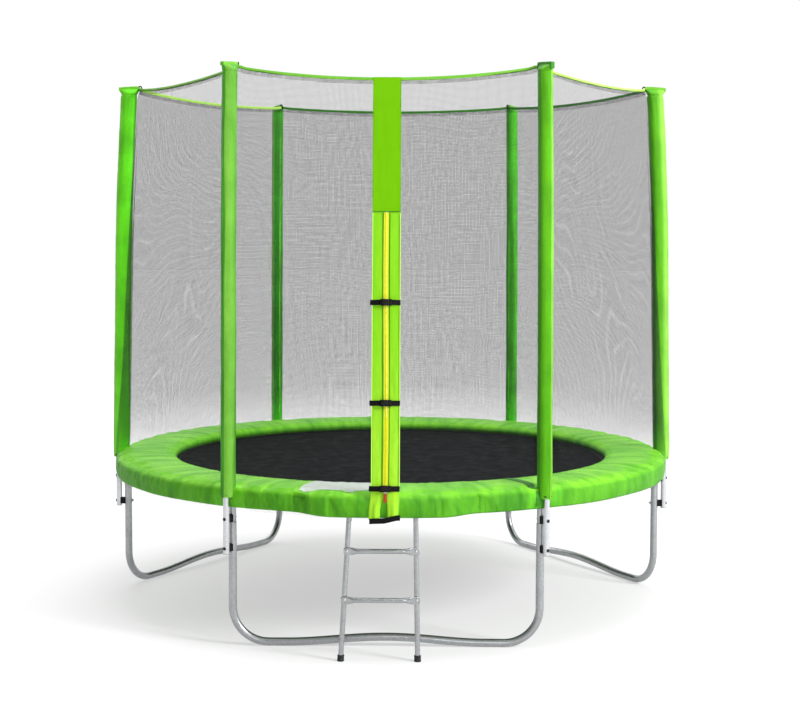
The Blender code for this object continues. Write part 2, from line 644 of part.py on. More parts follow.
def build_ladder(steel, rubber):
    sideways = Matrix(((0, 0, 1, 0), (-1, 0, 0, LADDER_AXIS_Y), (0, 1, 0, RING_Z), (0, 0, 0, 1)))
    turns = [math.radians(200.0 * k / 12) for k in range(13)]
    hook = [(HOOK_OUTER, -0.060)]
    hook += [(HOOK_OUTER * math.cos(turn), HOOK_OUTER * math.sin(turn)) for turn in turns]
    hook += [(HOOK_INNER * math.cos(turn), HOOK_INNER * math.sin(turn)) for turn in reversed(turns)]
    hook += [(HOOK_INNER, -0.060)]
    for side, (_, top_x) in LADDER_RAILS.items():
        start = rail_point(side, 0.0105)
        end = rail_point(side, LADDER_TOP_Z)
        strap = plate("hook", hook, HOOK_WIDTH, Matrix.Translation((top_x, 0, 0)) @ sideways)
        rail = combine("ladder_rail", rod("rail", start, end, LADDER_TUBE), [("UNION", strap)])
        make("ladder_rail_" + side, shade(rail), steel)
        floor = Vector((start.x, start.y, 0.0))
        foot = combine("ladder_foot", rod("foot", floor, floor + Vector((0, 0, FOOT_HEIGHT)), FOOT_RADIUS, 12),
                       [("DIFFERENCE", rod("foot_bore", rail_point(side, 0.0098), rail_point(side, 0.040),
                                           bore_for(LADDER_TUBE)))])
        make("ladder_foot_" + side, shade(foot), rubber)
    flat = (RUNG_FLAT_HIGH, RUNG_FLAT_DEEP)
    for level, z in RUNG_Z.items():
        y = ladder_y(z) - LADDER_TUBE - RUNG_FLAT_DEEP - GAP
        left, right = rail_point("left", z).x, rail_point("right", z).x
        tube_size = (RUNG_TUBE, RUNG_TUBE)
        stations = [(left - RUNG_OVERHANG, *flat), (left + 0.015, *flat), (left + 0.045, *tube_size),
                    (right - 0.045, *tube_size), (right - 0.015, *flat), (right + RUNG_OVERHANG, *flat)]
        rings = [[Vector((x, y + deep * a, z + high * b)) for a, b in oval()] for x, high, deep in stations]
        make("ladder_rung_" + level, shade(loft("ladder_rung", rings)), steel)


clear_scene()
PARTS = collection("backyard_trampoline")
CUTTERS = collection("cutters")
GALVANISED = material("galvanised_steel", (0.62, 0.63, 0.65), 0.35, 0.9)
SPRING_STEEL = material("spring_steel", (0.66, 0.67, 0.69), 0.30, 0.9)
BLACK_PLASTIC = material("black_plastic", (0.02, 0.02, 0.02), 0.50)
BLACK_RUBBER = material("black_rubber", (0.03, 0.03, 0.035), 0.80)
GREEN_SLEEVE = material("green_sleeve_cover", (0.27, 0.68, 0.04), 0.45)
GREEN_PAD = material("green_pad_cover", (0.24, 0.62, 0.05), 0.50)
GREEN_CLOTH = material("green_door_cloth", (0.35, 0.75, 0.03), 0.70)
MAT_WEAVE = material("black_mat_weave", (0.015, 0.015, 0.017), 0.65)
NET_MESH = material("black_net_mesh", (0.10, 0.10, 0.11), 0.80)
ZIP_METAL = material("zip_slider_metal", (0.80, 0.20, 0.05), 0.40, 0.3)
build_top_rails(GALVANISED)
build_legs(GALVANISED)
build_poles(GALVANISED, GREEN_SLEEVE, BLACK_PLASTIC)
build_mat(MAT_WEAVE)
build_spring_rows(SPRING_STEEL)
build_pad(GREEN_PAD)
build_net(NET_MESH)
build_door_flaps(GREEN_CLOTH)
build_zip_slider(ZIP_METAL)
build_buckles(BLACK_PLASTIC)
build_ladder(GALVANISED, BLACK_RUBBER)
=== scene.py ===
"""The looks of the backyard trampoline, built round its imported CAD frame. Metres, +Z up, entrance at -Y.

An azimuth is an angle in degrees round the ring: 0 is the front, 90 is the right (+X).
"""
import math

import bmesh
import bpy
import numpy as np
from mathutils import Matrix, Vector, noise
from mathutils.bvhtree import BVHTree


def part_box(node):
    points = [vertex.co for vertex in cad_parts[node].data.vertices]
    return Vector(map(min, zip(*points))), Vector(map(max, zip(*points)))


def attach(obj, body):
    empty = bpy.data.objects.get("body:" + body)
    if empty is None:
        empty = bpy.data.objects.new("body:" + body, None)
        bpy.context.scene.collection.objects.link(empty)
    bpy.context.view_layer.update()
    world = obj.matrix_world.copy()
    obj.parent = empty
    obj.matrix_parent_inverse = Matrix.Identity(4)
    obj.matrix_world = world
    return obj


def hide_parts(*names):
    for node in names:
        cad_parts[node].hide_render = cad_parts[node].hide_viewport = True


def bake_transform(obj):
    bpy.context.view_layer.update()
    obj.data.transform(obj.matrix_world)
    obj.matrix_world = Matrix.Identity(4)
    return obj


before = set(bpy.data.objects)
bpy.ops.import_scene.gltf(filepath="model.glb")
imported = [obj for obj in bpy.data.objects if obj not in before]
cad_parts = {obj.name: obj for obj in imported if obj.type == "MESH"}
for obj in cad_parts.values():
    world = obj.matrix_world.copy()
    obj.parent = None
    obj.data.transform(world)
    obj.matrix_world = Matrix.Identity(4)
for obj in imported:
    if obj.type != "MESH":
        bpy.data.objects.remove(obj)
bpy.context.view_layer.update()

# ---- the CAD model's driving dimensions, which its boxes can't give
POLES = {"front_left": -30, "front_right": 30, "right": 90,
         "back_right": 150, "back_left": -150, "left": -90}
THIRDS = {"front": 0, "back_right": 120, "back_left": -120}
SECTOR = 60.0
RING_RADIUS, RING_TUBE, RING_SWAGE, RING_Z = 1.208, 0.019, 0.0155, 0.591
STUB_TUBE, STUB_SWAGE, STUB_BOTTOM_Z = 0.0145, 0.0128, 0.430
LEG_TUBE, LEG_TOP_Z, LEG_BEND, LEG_FLAT, LEG_ARCH = 0.016, 0.494, 0.140, 0.060, 0.022
POLE_RING_RADIUS, POLE_TUBE = 1.250, 0.0125
POLE_LEAN_Z, POLE_LEAN, POLE_BEND_Z, POLE_BEND = 0.640, 0.018, 1.500, 0.035
END_LEAN = 0.42                  # share of the lean and bend which the front and back poles have
POLE_BOTTOM_Z, POLE_JOINT_Z, POLE_TOP_Z = 0.371, 1.300, 2.232
SPACER_Z, SPACER_HEIGHT, SPACER_WIDTH = {"upper": 0.510, "lower": 0.394}, 0.029, 0.022
SLEEVE_BOTTOM_Z, SLEEVE_TOP_Z, SLEEVE_CENTRE = 0.597, 2.287, -0.012
SLEEVE_SEAM_Z = 2.246            # where the flat top is sewn across
SLEEVE_RADIAL, SLEEVE_TANGENT = 0.035, 0.027
SLEEVE_TOP_RADIAL, SLEEVE_TOP_TANGENT = 0.0455, 0.0068
MAT_RADIUS, MAT_Z, BAND_OUTER = 0.9895, 0.598, 1.0125
PAD_INNER, PAD_OUTER, PAD_TOP_Z, PAD_BOTTOM_Z = 0.975, 1.2355, 0.6315, 0.6185
SKIRT_TOP_Z, SKIRT_BOTTOM_Z = 0.6190, 0.556
ENTRANCE_BULGE, ENTRANCE_DROP, BULGE_FULL, BULGE_END = 0.022, 0.008, 10.0, 17.0
NET_STANDOFF, NET_CORNER, NET_CORNER_CAP = 0.008, 0.049, 0.058
NET_RULED_Z, NET_TOP_Z, NET_LOW_Z, NET_OVER_PAD_Z = 0.640, 2.276, 0.548, 0.645
FRONT_SAG, OTHER_SAG = 0.050, 0.024
DOOR_LEFT, DOOR_RIGHT, ZIP_X = -0.054, 0.054, 0.000
DOOR_BOTTOM_Z, DOOR_TOP_Z, COVER_BOTTOM_Z = 0.545, 1.700, 1.707
LADDER_AXIS_Y, LADDER_TOP_Z, LADDER_FOOT_Y = -1.2008, 0.5635, -1.262
LADDER_RAILS = {"left": (-0.169, -0.1377), "right": (0.1245, 0.1155)}
LADDER_TUBE, HOOK_INNER, HOOK_OUTER, HOOK_WIDTH = 0.010, 0.0235, 0.0265, 0.020
HOOK_MIDDLE = (HOOK_INNER + HOOK_OUTER) / 2
RUNG_Z, RUNG_TUBE, RUNG_FLAT = {"upper": 0.4195, "lower": 0.2335}, 0.0095, 0.0150
FOOT_RADIUS, FOOT_HEIGHT = 0.0135, 0.024
# ---- the visual model's own numbers
SIDES = {"left": -1, "right": 1}
SLEEVE_SIDES, SLEEVE_UV_RADIUS = 48, 0.031
PAD_COLUMNS, PAD_UV_RADIUS = 1080, 1.1
NET_ROWS, NET_UV_RADIUS = 56, 1.2
WEDGES, SPRINGS, SPRING_WIRE = 16, 48, 0.00145
# a buckle's moulded blocks: (size, bevel, (right, out of the cloth, up))
SOCKET_BLOCKS = (((0.030, 0.0016, 0.025), 0.0006, (-0.007, 0.0152, 0)),
                 ((0.030, 0.0016, 0.025), 0.0006, (-0.007, 0.0088, 0)),
                 ((0.006, 0.0080, 0.025), 0.0012, (-0.019, 0.012, 0)),
                 ((0.0100, 0.0080, 0.0030), 0.0008, (0.003, 0.012, 0.0110)),
                 ((0.0100, 0.0080, 0.0030), 0.0008, (0.003, 0.012, -0.0110)),
                 ((0.0060, 0.0080, 0.0030), 0.0008, (-0.013, 0.012, 0.0110)),
                 ((0.0060, 0.0080, 0.0030), 0.0008, (-0.013, 0.012, -0.0110)))
PLUG_BLOCKS = (((0.0135, 0.0080, 0.0250), 0.0014, (0.01525, 0.012, 0)),
               ((0.022, 0.0030, 0.0050), 0.0008, (-0.001, 0.012, 0)))
# a buckle's straps: (right, out of the cloth) along each
STRAP_ROUTES = {
    "left": ((-0.062, 0.0010), (-0.052, 0.0018), (-0.044, 0.0042), (-0.034, 0.0085), (-0.026, 0.0112),
             (-0.0195, 0.0120)),
    "right": ((0.0195, 0.0120), (0.026, 0.0112), (0.034, 0.0085), (0.042, 0.0042), (0.048, 0.0020),
              (0.0545, 0.0012))}


# ======================================================================= mesh tools
def polar(radius, azimuth, z):
    turn = math.radians(azimuth)
    return Vector((radius * math.sin(turn), -radius * math.cos(turn), z))


def smooth(value, start, end):
    t = min(1.0, max(0.0, (value - start) / (end - start)))
    return t * t * (3.0 - 2.0 * t)


def turned(azimuth):
    return Matrix.Rotation(math.radians(azimuth), 4, "Z")


def frame_at(origin, x, z):
    """A matrix with its X along x and its Z along z, as nearly as they are square to each other."""
    z = Vector(z).normalized()
    y = z.cross(Vector(x)).normalized()
    x = y.cross(z)
    return Matrix(((x.x, y.x, z.x, origin[0]), (x.y, y.y, z.y, origin[1]),
                   (x.z, y.z, z.z, origin[2]), (0, 0, 0, 1)))


def moved(shape, matrix):
    points, faces = shape
    matrix = np.array(matrix, float)
    return np.asarray(points) @ matrix[:3, :3].T + matrix[:3, 3], faces


def merged(*shapes):
    points, faces, count = [], [], 0
    for part_points, part_faces in shapes:
        points.append(np.asarray(part_points, float))
        faces += [tuple(i + count for i in face) for face in part_faces]
        count += len(part_points)
    return np.concatenate(points), faces


def skin(rings, closed=False, caps=True):
    """A closed-sided surface through rings of points. closed joins the last ring to the first."""
    rings = np.asarray(rings, float)
    rows, sides = rings.shape[:2]
    faces = []
    for k in range(rows if closed else rows - 1):
        one, two = k * sides, ((k + 1) % rows) * sides
        for i in range(sides):
            j = (i + 1) % sides
            faces.append((one + i, one + j, two + j, two + i))
    if caps and not closed:
        faces.append(tuple(reversed(range(sides))))
        faces.append(tuple((rows - 1) * sides + i for i in range(sides)))
    return rings.reshape(-1, 3), faces


def round_turns(sides):
    return np.linspace(0.0, 2 * math.pi, sides, endpoint=False)


def swept(path, radius, sides=20, closed=False, caps=True):
    """A tube along path. radius may vary along it."""
    path = np.asarray(path, float)
    count = len(path)
    after = np.roll(path, -1, 0) - path
    before = path - np.roll(path, 1, 0)
    if not closed:
        after[-1], before[0] = before[-1], after[0]
    along = after / np.linalg.norm(after, axis=1)[:, None] + before / np.linalg.norm(before, axis=1)[:, None]
    along /= np.linalg.norm(along, axis=1)[:, None]
    side = np.cross(along[0], (0.0, 0.0, 1.0))
    if np.linalg.norm(side) < 0.01:
        side = np.cross(along[0], (0.0, 1.0, 0.0))
    radii = np.broadcast_to(np.asarray(radius, float), (count,))
    turns = round_turns(sides)
    rings = []
    for k in range(count):
        side = side - along[k] * (side @ along[k])
        side /= np.linalg.norm(side)
        up = np.cross(side, along[k])
        rings.append(path[k] + radii[k] * (np.outer(np.cos(turns), side) + np.outer(np.sin(turns), up)))
    return skin(rings, closed, caps)


def lathe(profile, sides=32, matrix=Matrix()):
    """A turned solid about Z. profile is a list of (radius, z) from one end to the other."""
    rings = [[(r * math.cos(t), r * math.sin(t), z) for t in round_turns(sides)] for r, z in profile]
    return moved(skin(rings), matrix)


def soft_block(size, bevel, matrix=Matrix(), segments=2):
    """A block with rounded edges, centred on the frame that matrix gives."""
    bm = bmesh.new()
    bmesh.ops.create_cube(bm, size=1.0, matrix=Matrix.Diagonal((*size, 1.0)))
    bmesh.ops.bevel(bm, geom=bm.edges[:], offset=bevel, segments=segments, profile=0.6, affect="EDGES")
    bm.verts.index_update()
    shape = np.array([v.co[:] for v in bm.verts]), [tuple(v.index for v in f.verts) for f in bm.faces]
    bm.free()
    return moved(shape, matrix)


def ribbon(points, width_axis, width, thickness, bevel=None):
    """Webbing: a flat closed strip along points, width across width_axis."""
    points = np.asarray(points, float)
    across = np.asarray(width_axis, float)
    along = np.gradient(points, axis=0)
    normal = np.cross(along, across)
    normal /= np.linalg.norm(normal, axis=1)[:, None]
    half, deep = width / 2, thickness / 2
    corner = min(deep * 0.9, half * 0.2) if bevel is None else bevel
    outline = [(-half, -deep + corner), (-half + corner, -deep), (half - corner, -deep), (half, -deep + corner),
               (half, deep - corner), (half - corner, deep), (-half + corner, deep), (-half, deep - corner)]
    rings = [[p + across * a + n * b for a, b in outline] for p, n in zip(points, normal)]
    return skin(rings)


def sheet_grid(points, wrap=False):
    """An open surface through points[column][row]. wrap joins the last column to the first."""
    points = np.asarray(points, float)
    columns, rows = points.shape[:2]
    faces = []
    for k in range(columns if wrap else columns - 1):
        one, two = k * rows, ((k + 1) % columns) * rows
        for row in range(rows - 1):
            faces.append((one + row, two + row, two + row + 1, one + row + 1))
    return points.reshape(-1, 3), faces


def piece(name, shape, finish, body=None, slot=None, replaces=(), sharp=40.0, uv=None, matrix=None):
    """Make a named mesh object. uv maps a vertex index to metres along and across the cloth."""
    points, faces = shape if matrix is None else moved(shape, matrix)
    mesh = bpy.data.meshes.new(name)
    mesh.from_pydata([tuple(p) for p in np.asarray(points, float).tolist()], [], faces)
    mesh.validate()
    mesh.materials.append(finish)
    if uv is not None:
        corners = np.zeros(len(mesh.loops), np.int32)
        mesh.loops.foreach_get("vertex_index", corners)
        layer = mesh.uv_layers.new(name="cloth")
        layer.data.foreach_set("uv", np.asarray(uv, np.float32)[corners].ravel())
    mesh.shade_smooth()
    if sharp:
        mesh.set_sharp_from_angle(angle=math.radians(sharp))
    made = bpy.data.objects.new(name, mesh)
    bpy.context.scene.collection.objects.link(made)
    if body:
        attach(made, body)
    if replaces:
        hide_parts(*([replaces] if isinstance(replaces, str) else replaces))
    return made


# ======================================================================= materials
def add_node(tree, kind, inputs=None, **settings):
    """Add a shader node. inputs maps a socket to a value or to the output that feeds it."""
    node = tree.nodes.new("ShaderNode" + kind)
    for key, value in settings.items():
        setattr(node, key, value)
    for key, value in (inputs or {}).items():
        if isinstance(value, bpy.types.NodeSocket):
            tree.links.new(value, node.inputs[key])
        else:
            node.inputs[key].default_value = value
    return node


class Paint:
    """A Principled material whose nodes are added by short calls."""

    def __init__(self, name, roughness, metallic=0.0, **settings):
        self.material = bpy.data.materials.new(name)
        self.material.use_nodes = True
        self.tree = self.material.node_tree
        self.shader = self.tree.nodes["Principled BSDF"]
        self.shader.inputs["Roughness"].default_value = roughness
        self.shader.inputs["Metallic"].default_value = metallic
        for socket, value in settings.items():
            self.shader.inputs[socket.replace("_", " ")].default_value = value
        self.height = None

    def add(self, kind, inputs=None, **settings):
        return add_node(self.tree, kind, inputs, **settings)

    def math(self, operation, one, two=0.0, three=0.0):
        return self.add("Math", {0: one, 1: two, 2: three}, operation=operation).outputs[0]

    def position(self, stretch=(1.0, 1.0, 1.0), source="Object"):
        coordinates = self.add("TexCoord").outputs[source]
        return self.add("Mapping", {"Vector": coordinates, "Scale": stretch}).outputs[0]

    def axis(self, number, source="Object"):
        """One coordinate of the place on the surface."""
        return self.add("SeparateXYZ", {0: self.position(source=source)}).outputs[number]

    def noise(self, scale, detail=2.0, stretch=(1.0, 1.0, 1.0), source="Object", distortion=0.0):
        texture = self.add("TexNoise", {"Vector": self.position(stretch, source), "Scale": scale,
                                        "Detail": detail, "Distortion": distortion})
        return texture.outputs["Fac"]

    def spread(self, value, low, high, start=0.3, end=0.7):
        """Map a texture's value to a range."""
        return self.add("MapRange", {"Value": value, "From Min": start, "From Max": end,
                                     "To Min": low, "To Max": high}).outputs[0]

    def mix(self, factor, one, two):
        colours = [colour if isinstance(colour, bpy.types.NodeSocket) else (*colour, 1.0) for colour in (one, two)]
        return self.add("Mix", {0: factor, 6: colours[0], 7: colours[1]}, data_type="RGBA").outputs[2]

    def ramp(self, value, stops):
        """A colour that changes along value, from stops of (place from 0 to 1, colour)."""
        node = self.add("ValToRGB", {0: value})
        elements = node.color_ramp.elements
        elements[0].position, elements[1].position = stops[0][0], stops[-1][0]
        elements[0].color, elements[1].color = (*stops[0][1], 1.0), (*stops[-1][1], 1.0)
        for place, colour in stops[1:-1]:
            elements.new(place).color = (*colour, 1.0)
        return node.outputs[0]

    def feed(self, socket, value):
        self.tree.links.new(value, self.shader.inputs[socket])

    def bump(self, height, distance, strength=1.0):
        """Stack one more bump, its height in metres."""
        inputs = {"Height": height, "Distance": distance, "Strength": strength}
        if self.height is not None:
            inputs["Normal"] = self.height
        self.height = self.add("Bump", inputs).outputs[0]
        self.feed("Normal", self.height)

    def weave(self, pitch, depth, source="UV"):
        """Crossed threads at a pitch in metres."""
        where = self.add("SeparateXYZ", {0: self.position(source=source)})
        turn = 2 * math.pi / pitch
        waves = [self.math("SINE", self.math("MULTIPLY", where.outputs[k], turn)) for k in (0, 1)]
        over = self.math("MULTIPLY", waves[0], waves[1])
        self.bump(over, depth)
        return over


def linear(*colour):
    """sRGB 0-255 to linear."""
    return tuple((c / 255 / 12.92) if c / 255 <= 0.04045 else ((c / 255 + 0.055) / 1.055) ** 2.4 for c in colour)


def galvanised(name, light, dark, roughness=0.30):
    """Zinc-coated tube: a faint crystal pattern, drawn-tube streaks, dull spots and fine scratches."""
    paint = Paint(name, roughness, 0.92)
    cells = paint.add("TexVoronoi", {"Vector": paint.position(), "Scale": 110.0}, feature="SMOOTH_F1")
    crystal = paint.spread(cells.outputs["Distance"], 0.15, 0.60, 0.1, 0.7)
    patches = paint.spread(paint.noise(14.0, 4.0), 0.0, 1.0)
    tone = paint.mix(crystal, light, dark)
    paint.feed("Base Color", paint.mix(paint.math("MULTIPLY", patches, 0.25), tone, dark))
    scratch = paint.noise(900.0, 2.0, (1.0, 1.0, 0.12))
    dull = paint.math("ADD", paint.spread(patches, 0.0, 0.12, 0.0, 1.0), paint.spread(scratch, 0.0, 0.10))
    paint.feed("Roughness", paint.math("ADD", dull, roughness - 0.08))
    paint.bump(scratch, 0.00006, 0.5)
    paint.bump(crystal, 0.00005, 0.4)
    return paint.material


def coated_cloth(name, colour, deep, roughness=0.46, pitch=0.0011, wrinkle=0.0008, source="UV", shine=0.18):
    """Coated polyester: weave, tonal patches, small creases and a soft sheen."""
    paint = Paint(name, roughness, 0.0, Sheen_Weight=0.03, Sheen_Roughness=0.4, Specular_IOR_Level=shine)
    patches = paint.noise(7.0, 3.0)
    fibres = paint.noise(420.0, 2.0)
    blend = paint.math("ADD", paint.spread(patches, -0.15, 0.35), paint.spread(fibres, -0.18, 0.35))
    paint.feed("Base Color", paint.mix(paint.math("MAXIMUM", blend, 0.0), colour, deep))
    paint.feed("Roughness", paint.spread(patches, roughness - 0.06, roughness + 0.08))
    creases = paint.noise(38.0, 4.0, distortion=0.6)
    paint.bump(creases, wrinkle, 0.7)
    paint.weave(pitch, 0.00016, source)
    return paint.material


def sleeve_cloth_with_painted_light(name, light_and_shade_stops):
    """A sleeve's coated cover, with painted light and shade round it. light_and_shade_stops holds (degrees from the
    ridge, colour).
    """
    paint = Paint(name, 0.38, 0.0, Sheen_Weight=0.03, Sheen_Roughness=0.4, Specular_IOR_Level=0.18)
    streaks = paint.noise(26.0, 3.0, (1.0, 1.0, 0.10))
    shift = paint.spread(streaks, -0.004, 0.004)
    half = math.pi * SLEEVE_UV_RADIUS
    place = paint.spread(paint.math("ADD", paint.axis(0, "UV"), shift), 0.0, 1.0, -half, half)
    # this tone ramp is painted light and shade round the sleeve
    tone = paint.ramp(place, [(0.5 + degrees / 360.0, colour) for degrees, colour in light_and_shade_stops])
    patches = paint.noise(7.0, 3.0)
    fibres = paint.noise(420.0, 2.0)
    blend = paint.math("ADD", paint.spread(patches, -0.10, 0.30), paint.spread(fibres, -0.15, 0.25))
    # the streaks also darken the colour along the folds their bump raises: painted shade in the folds
    blend = paint.math("MAXIMUM", paint.math("ADD", blend, paint.spread(streaks, -0.05, 0.25)), 0.0)
    paint.feed("Base Color", paint.mix(blend, tone, (0.030, 0.180, 0.002)))
    paint.feed("Roughness", paint.spread(patches, 0.32, 0.46))
    paint.bump(paint.noise(38.0, 4.0, distortion=0.6), 0.0008, 0.7)
    paint.bump(streaks, 0.0016, 0.6)
    paint.weave(0.0011, 0.00016)
    return paint.material


def pad_cloth():
    """The pad's coated cloth: radial puckers run in from the seams, over broad tonal patches."""
    paint = Paint("pad_cover", 0.40, 0.0, Sheen_Weight=0.04, Sheen_Roughness=0.4, Specular_IOR_Level=0.20)
    patches = paint.noise(6.0, 3.0)
    puckers = paint.noise(22.0, 3.0, (1.0, 0.16, 1.0), "UV", 0.4)
    # the puckers darken the colour along the wrinkles their bump raises: painted shade of the wrinkles, over the
    # real tonal patches
    blend = paint.math("ADD", paint.spread(patches, -0.10, 0.45), paint.spread(puckers, -0.30, 0.70))
    blend = paint.math("MAXIMUM", blend, 0.0)
    top = paint.mix(blend, (0.215, 0.660, 0.013), (0.075, 0.400, 0.006))
    # the skirt is a darker copy of the top's colours: painted shade on the pad's sides
    shaded_skirt = paint.mix(blend, (0.105, 0.440, 0.007), (0.042, 0.270, 0.003))
    paint.feed("Base Color", paint.mix(paint.spread(paint.axis(2), 0.0, 1.0, 0.618, 0.634), shaded_skirt, top))
    paint.feed("Roughness", paint.spread(puckers, 0.34, 0.50))
    paint.bump(puckers, 0.0080, 0.9)
    paint.bump(paint.noise(45.0, 4.0, distortion=0.6), 0.0012, 0.7)
    paint.weave(0.0013, 0.00016)
    return paint.material


def door_cloth():
    """Thin lime cloth, paler towards the bottom, with folds that run up it."""
    paint = Paint("door_cloth", 0.60, 0.0, Sheen_Weight=0.05, Sheen_Roughness=0.4, Specular_IOR_Level=0.15)
    paler_low = paint.spread(paint.axis(2), 1.0, 0.0, 0.75, 1.25)
    tone = paint.mix(paler_low, (0.200, 0.540, 0.004), (0.330, 0.650, 0.024))
    folds = paint.noise(70.0, 3.0, (1.0, 1.0, 0.05), distortion=0.3)
    # the folds darken the colour along the bump they raise: painted shade in the folds
    paint.feed("Base Color", paint.mix(paint.spread(folds, 0.0, 0.6), tone, (0.150, 0.470, 0.003)))
    paint.bump(folds, 0.0012, 0.7)
    paint.bump(paint.noise(60.0, 3.0), 0.0005, 0.6)
    paint.weave(0.0010, 0.00016)
    return paint.material


def webbing(name, colour, deep, pitch=0.0016, sheen=0.1):
    """Flat woven strap with ribs across it."""
    paint = Paint(name, 0.62, 0.0, Sheen_Weight=sheen, Sheen_Roughness=0.5, Specular_IOR_Level=0.08)
    over = paint.weave(pitch, 0.00025, "Object")
    paint.feed("Base Color", paint.mix(paint.spread(over, 0.0, 1.0, -0.6, 0.6), deep, colour))
    paint.bump(paint.noise(260.0, 3.0), 0.0002, 0.6)
    return paint.material


def moulded(name, colour, roughness, grain=520.0, depth=0.00012):
    """Moulded plastic or rubber: fine grain, scuffs and slightly uneven gloss."""
    paint = Paint(name, roughness, 0.0, Specular_IOR_Level=0.12)
    scuff = paint.noise(60.0, 4.0)
    worn = tuple(min(1.0, c * 1.5 + 0.006) for c in colour)
    paint.feed("Base Color", paint.mix(paint.spread(scuff, 0.0, 0.5), colour, worn))
    paint.feed("Roughness", paint.spread(scuff, roughness - 0.08, roughness + 0.12))
    paint.bump(paint.noise(grain, 2.0), depth, 0.7)
    return paint.material


def mat_weave():
    """Tight black polypropylene: flat warp tapes over weft, with a dull shine."""
    paint = Paint("black_mat_weave", 0.7, 0.0, Specular_IOR_Level=0.02)
    over = paint.weave(0.0030, 0.00035, "Object")
    tone = paint.mix(paint.spread(over, 0.0, 1.0, -0.7, 0.7), (0.0035, 0.0040, 0.0045), (0.0090, 0.0100, 0.0110))
    dust = paint.spread(paint.noise(5.0, 5.0), 0.0, 0.30)
    paint.feed("Base Color", paint.mix(dust, tone, (0.0065, 0.0078, 0.0085)))
    paint.feed("Roughness", paint.spread(paint.noise(24.0, 3.0), 0.55, 0.75))
    return paint.material


def net_mesh(name, pitch, thread, low_thread, colour):
    """Knitted net: crossed threads with open cells between them, drawn wider open towards the pad."""
    paint = Paint(name, 0.85, 0.0, Specular_IOR_Level=0.05)
    cloth = paint.position(source="UV")
    drift = paint.add("TexNoise", {"Vector": cloth, "Scale": 2.6, "Detail": 1.0}).outputs["Color"]
    for operation, vector in (("SUBTRACT", (0.5, 0.5, 0.5)), ("MULTIPLY", (0.012, 0.024, 0.0))):
        drift = paint.add("VectorMath", {0: drift, 1: vector}, operation=operation).outputs[0]
    where = paint.add("VectorMath", {0: cloth, 1: drift}, operation="ADD").outputs[0]
    where = paint.add("SeparateXYZ", {0: where})
    height = paint.add("SeparateXYZ", {0: cloth}).outputs[1]
    half = paint.spread(height, low_thread / 2, thread / 2, 0.63, 0.82)
    threads = [paint.math("LESS_THAN", paint.math("PINGPONG", where.outputs[k], pitch / 2), half) for k in (0, 1)]
    haze = paint.spread(height, 0.03, 0.12, 0.63, 0.82)
    paint.feed("Alpha", paint.math("MAXIMUM", paint.math("MAXIMUM", *threads), haze))
    speckle = paint.add("TexNoise", {"Vector": cloth, "Scale": 30.0, "Detail": 3.0}).outputs["Fac"]
    lighter = tuple(c * 2.0 for c in colour)
    paint.feed("Base Color", paint.mix(paint.spread(speckle, 0.0, 1.0), colour, lighter))
    return paint.material


def tooth_metal():
    paint = Paint("zip_teeth", 0.45)
    flecks = paint.noise(300.0, 3.0)
    paint.feed("Base Color", paint.mix(paint.spread(flecks, 0.0, 1.0), (0.76, 0.74, 0.012), (0.62, 0.62, 0.010)))
    paint.bump(flecks, 0.0002, 0.6)
    return paint.material


def painted_slider():
    """Orange enamel worn to metal in spots."""
    paint = Paint("zip_slider_enamel", 0.45, 0.0, Specular_IOR_Level=0.3)
    wear = paint.spread(paint.noise(240.0, 5.0), 0.0, 1.0, 0.58, 0.66)
    paint.feed("Base Color", paint.mix(wear, (0.30, 0.036, 0.003), (0.20, 0.03, 0.006)))
    paint.feed("Metallic", paint.spread(wear, 0.0, 0.3, 0.0, 1.0))
    paint.bump(paint.noise(500.0, 2.0), 0.0001, 0.5)
    return paint.material


STEEL = galvanised("galvanised_tube", (0.43, 0.44, 0.45), (0.25, 0.26, 0.27))
POLE_STEEL = galvanised("pole_tube", (0.62, 0.63, 0.645), (0.46, 0.47, 0.485), 0.24)
LADDER_STEEL = galvanised("ladder_tube", (0.42, 0.43, 0.44), (0.25, 0.26, 0.27), 0.20)
SPRING_STEEL = galvanised("spring_wire", (0.62, 0.63, 0.65), (0.46, 0.47, 0.50), 0.24)
BOLT_STEEL = galvanised("bolt_zinc", (0.55, 0.55, 0.52), (0.38, 0.38, 0.37), 0.36)
DARK_BOLT = moulded("black_bolt_cap", (0.012, 0.012, 0.013), 0.42)
PLASTIC = moulded("black_plastic", (0.0035, 0.0035, 0.0040), 0.42)
RUBBER = moulded("black_rubber", (0.020, 0.020, 0.023), 0.70, 300.0, 0.0003)
PAD_GREEN = pad_cloth()
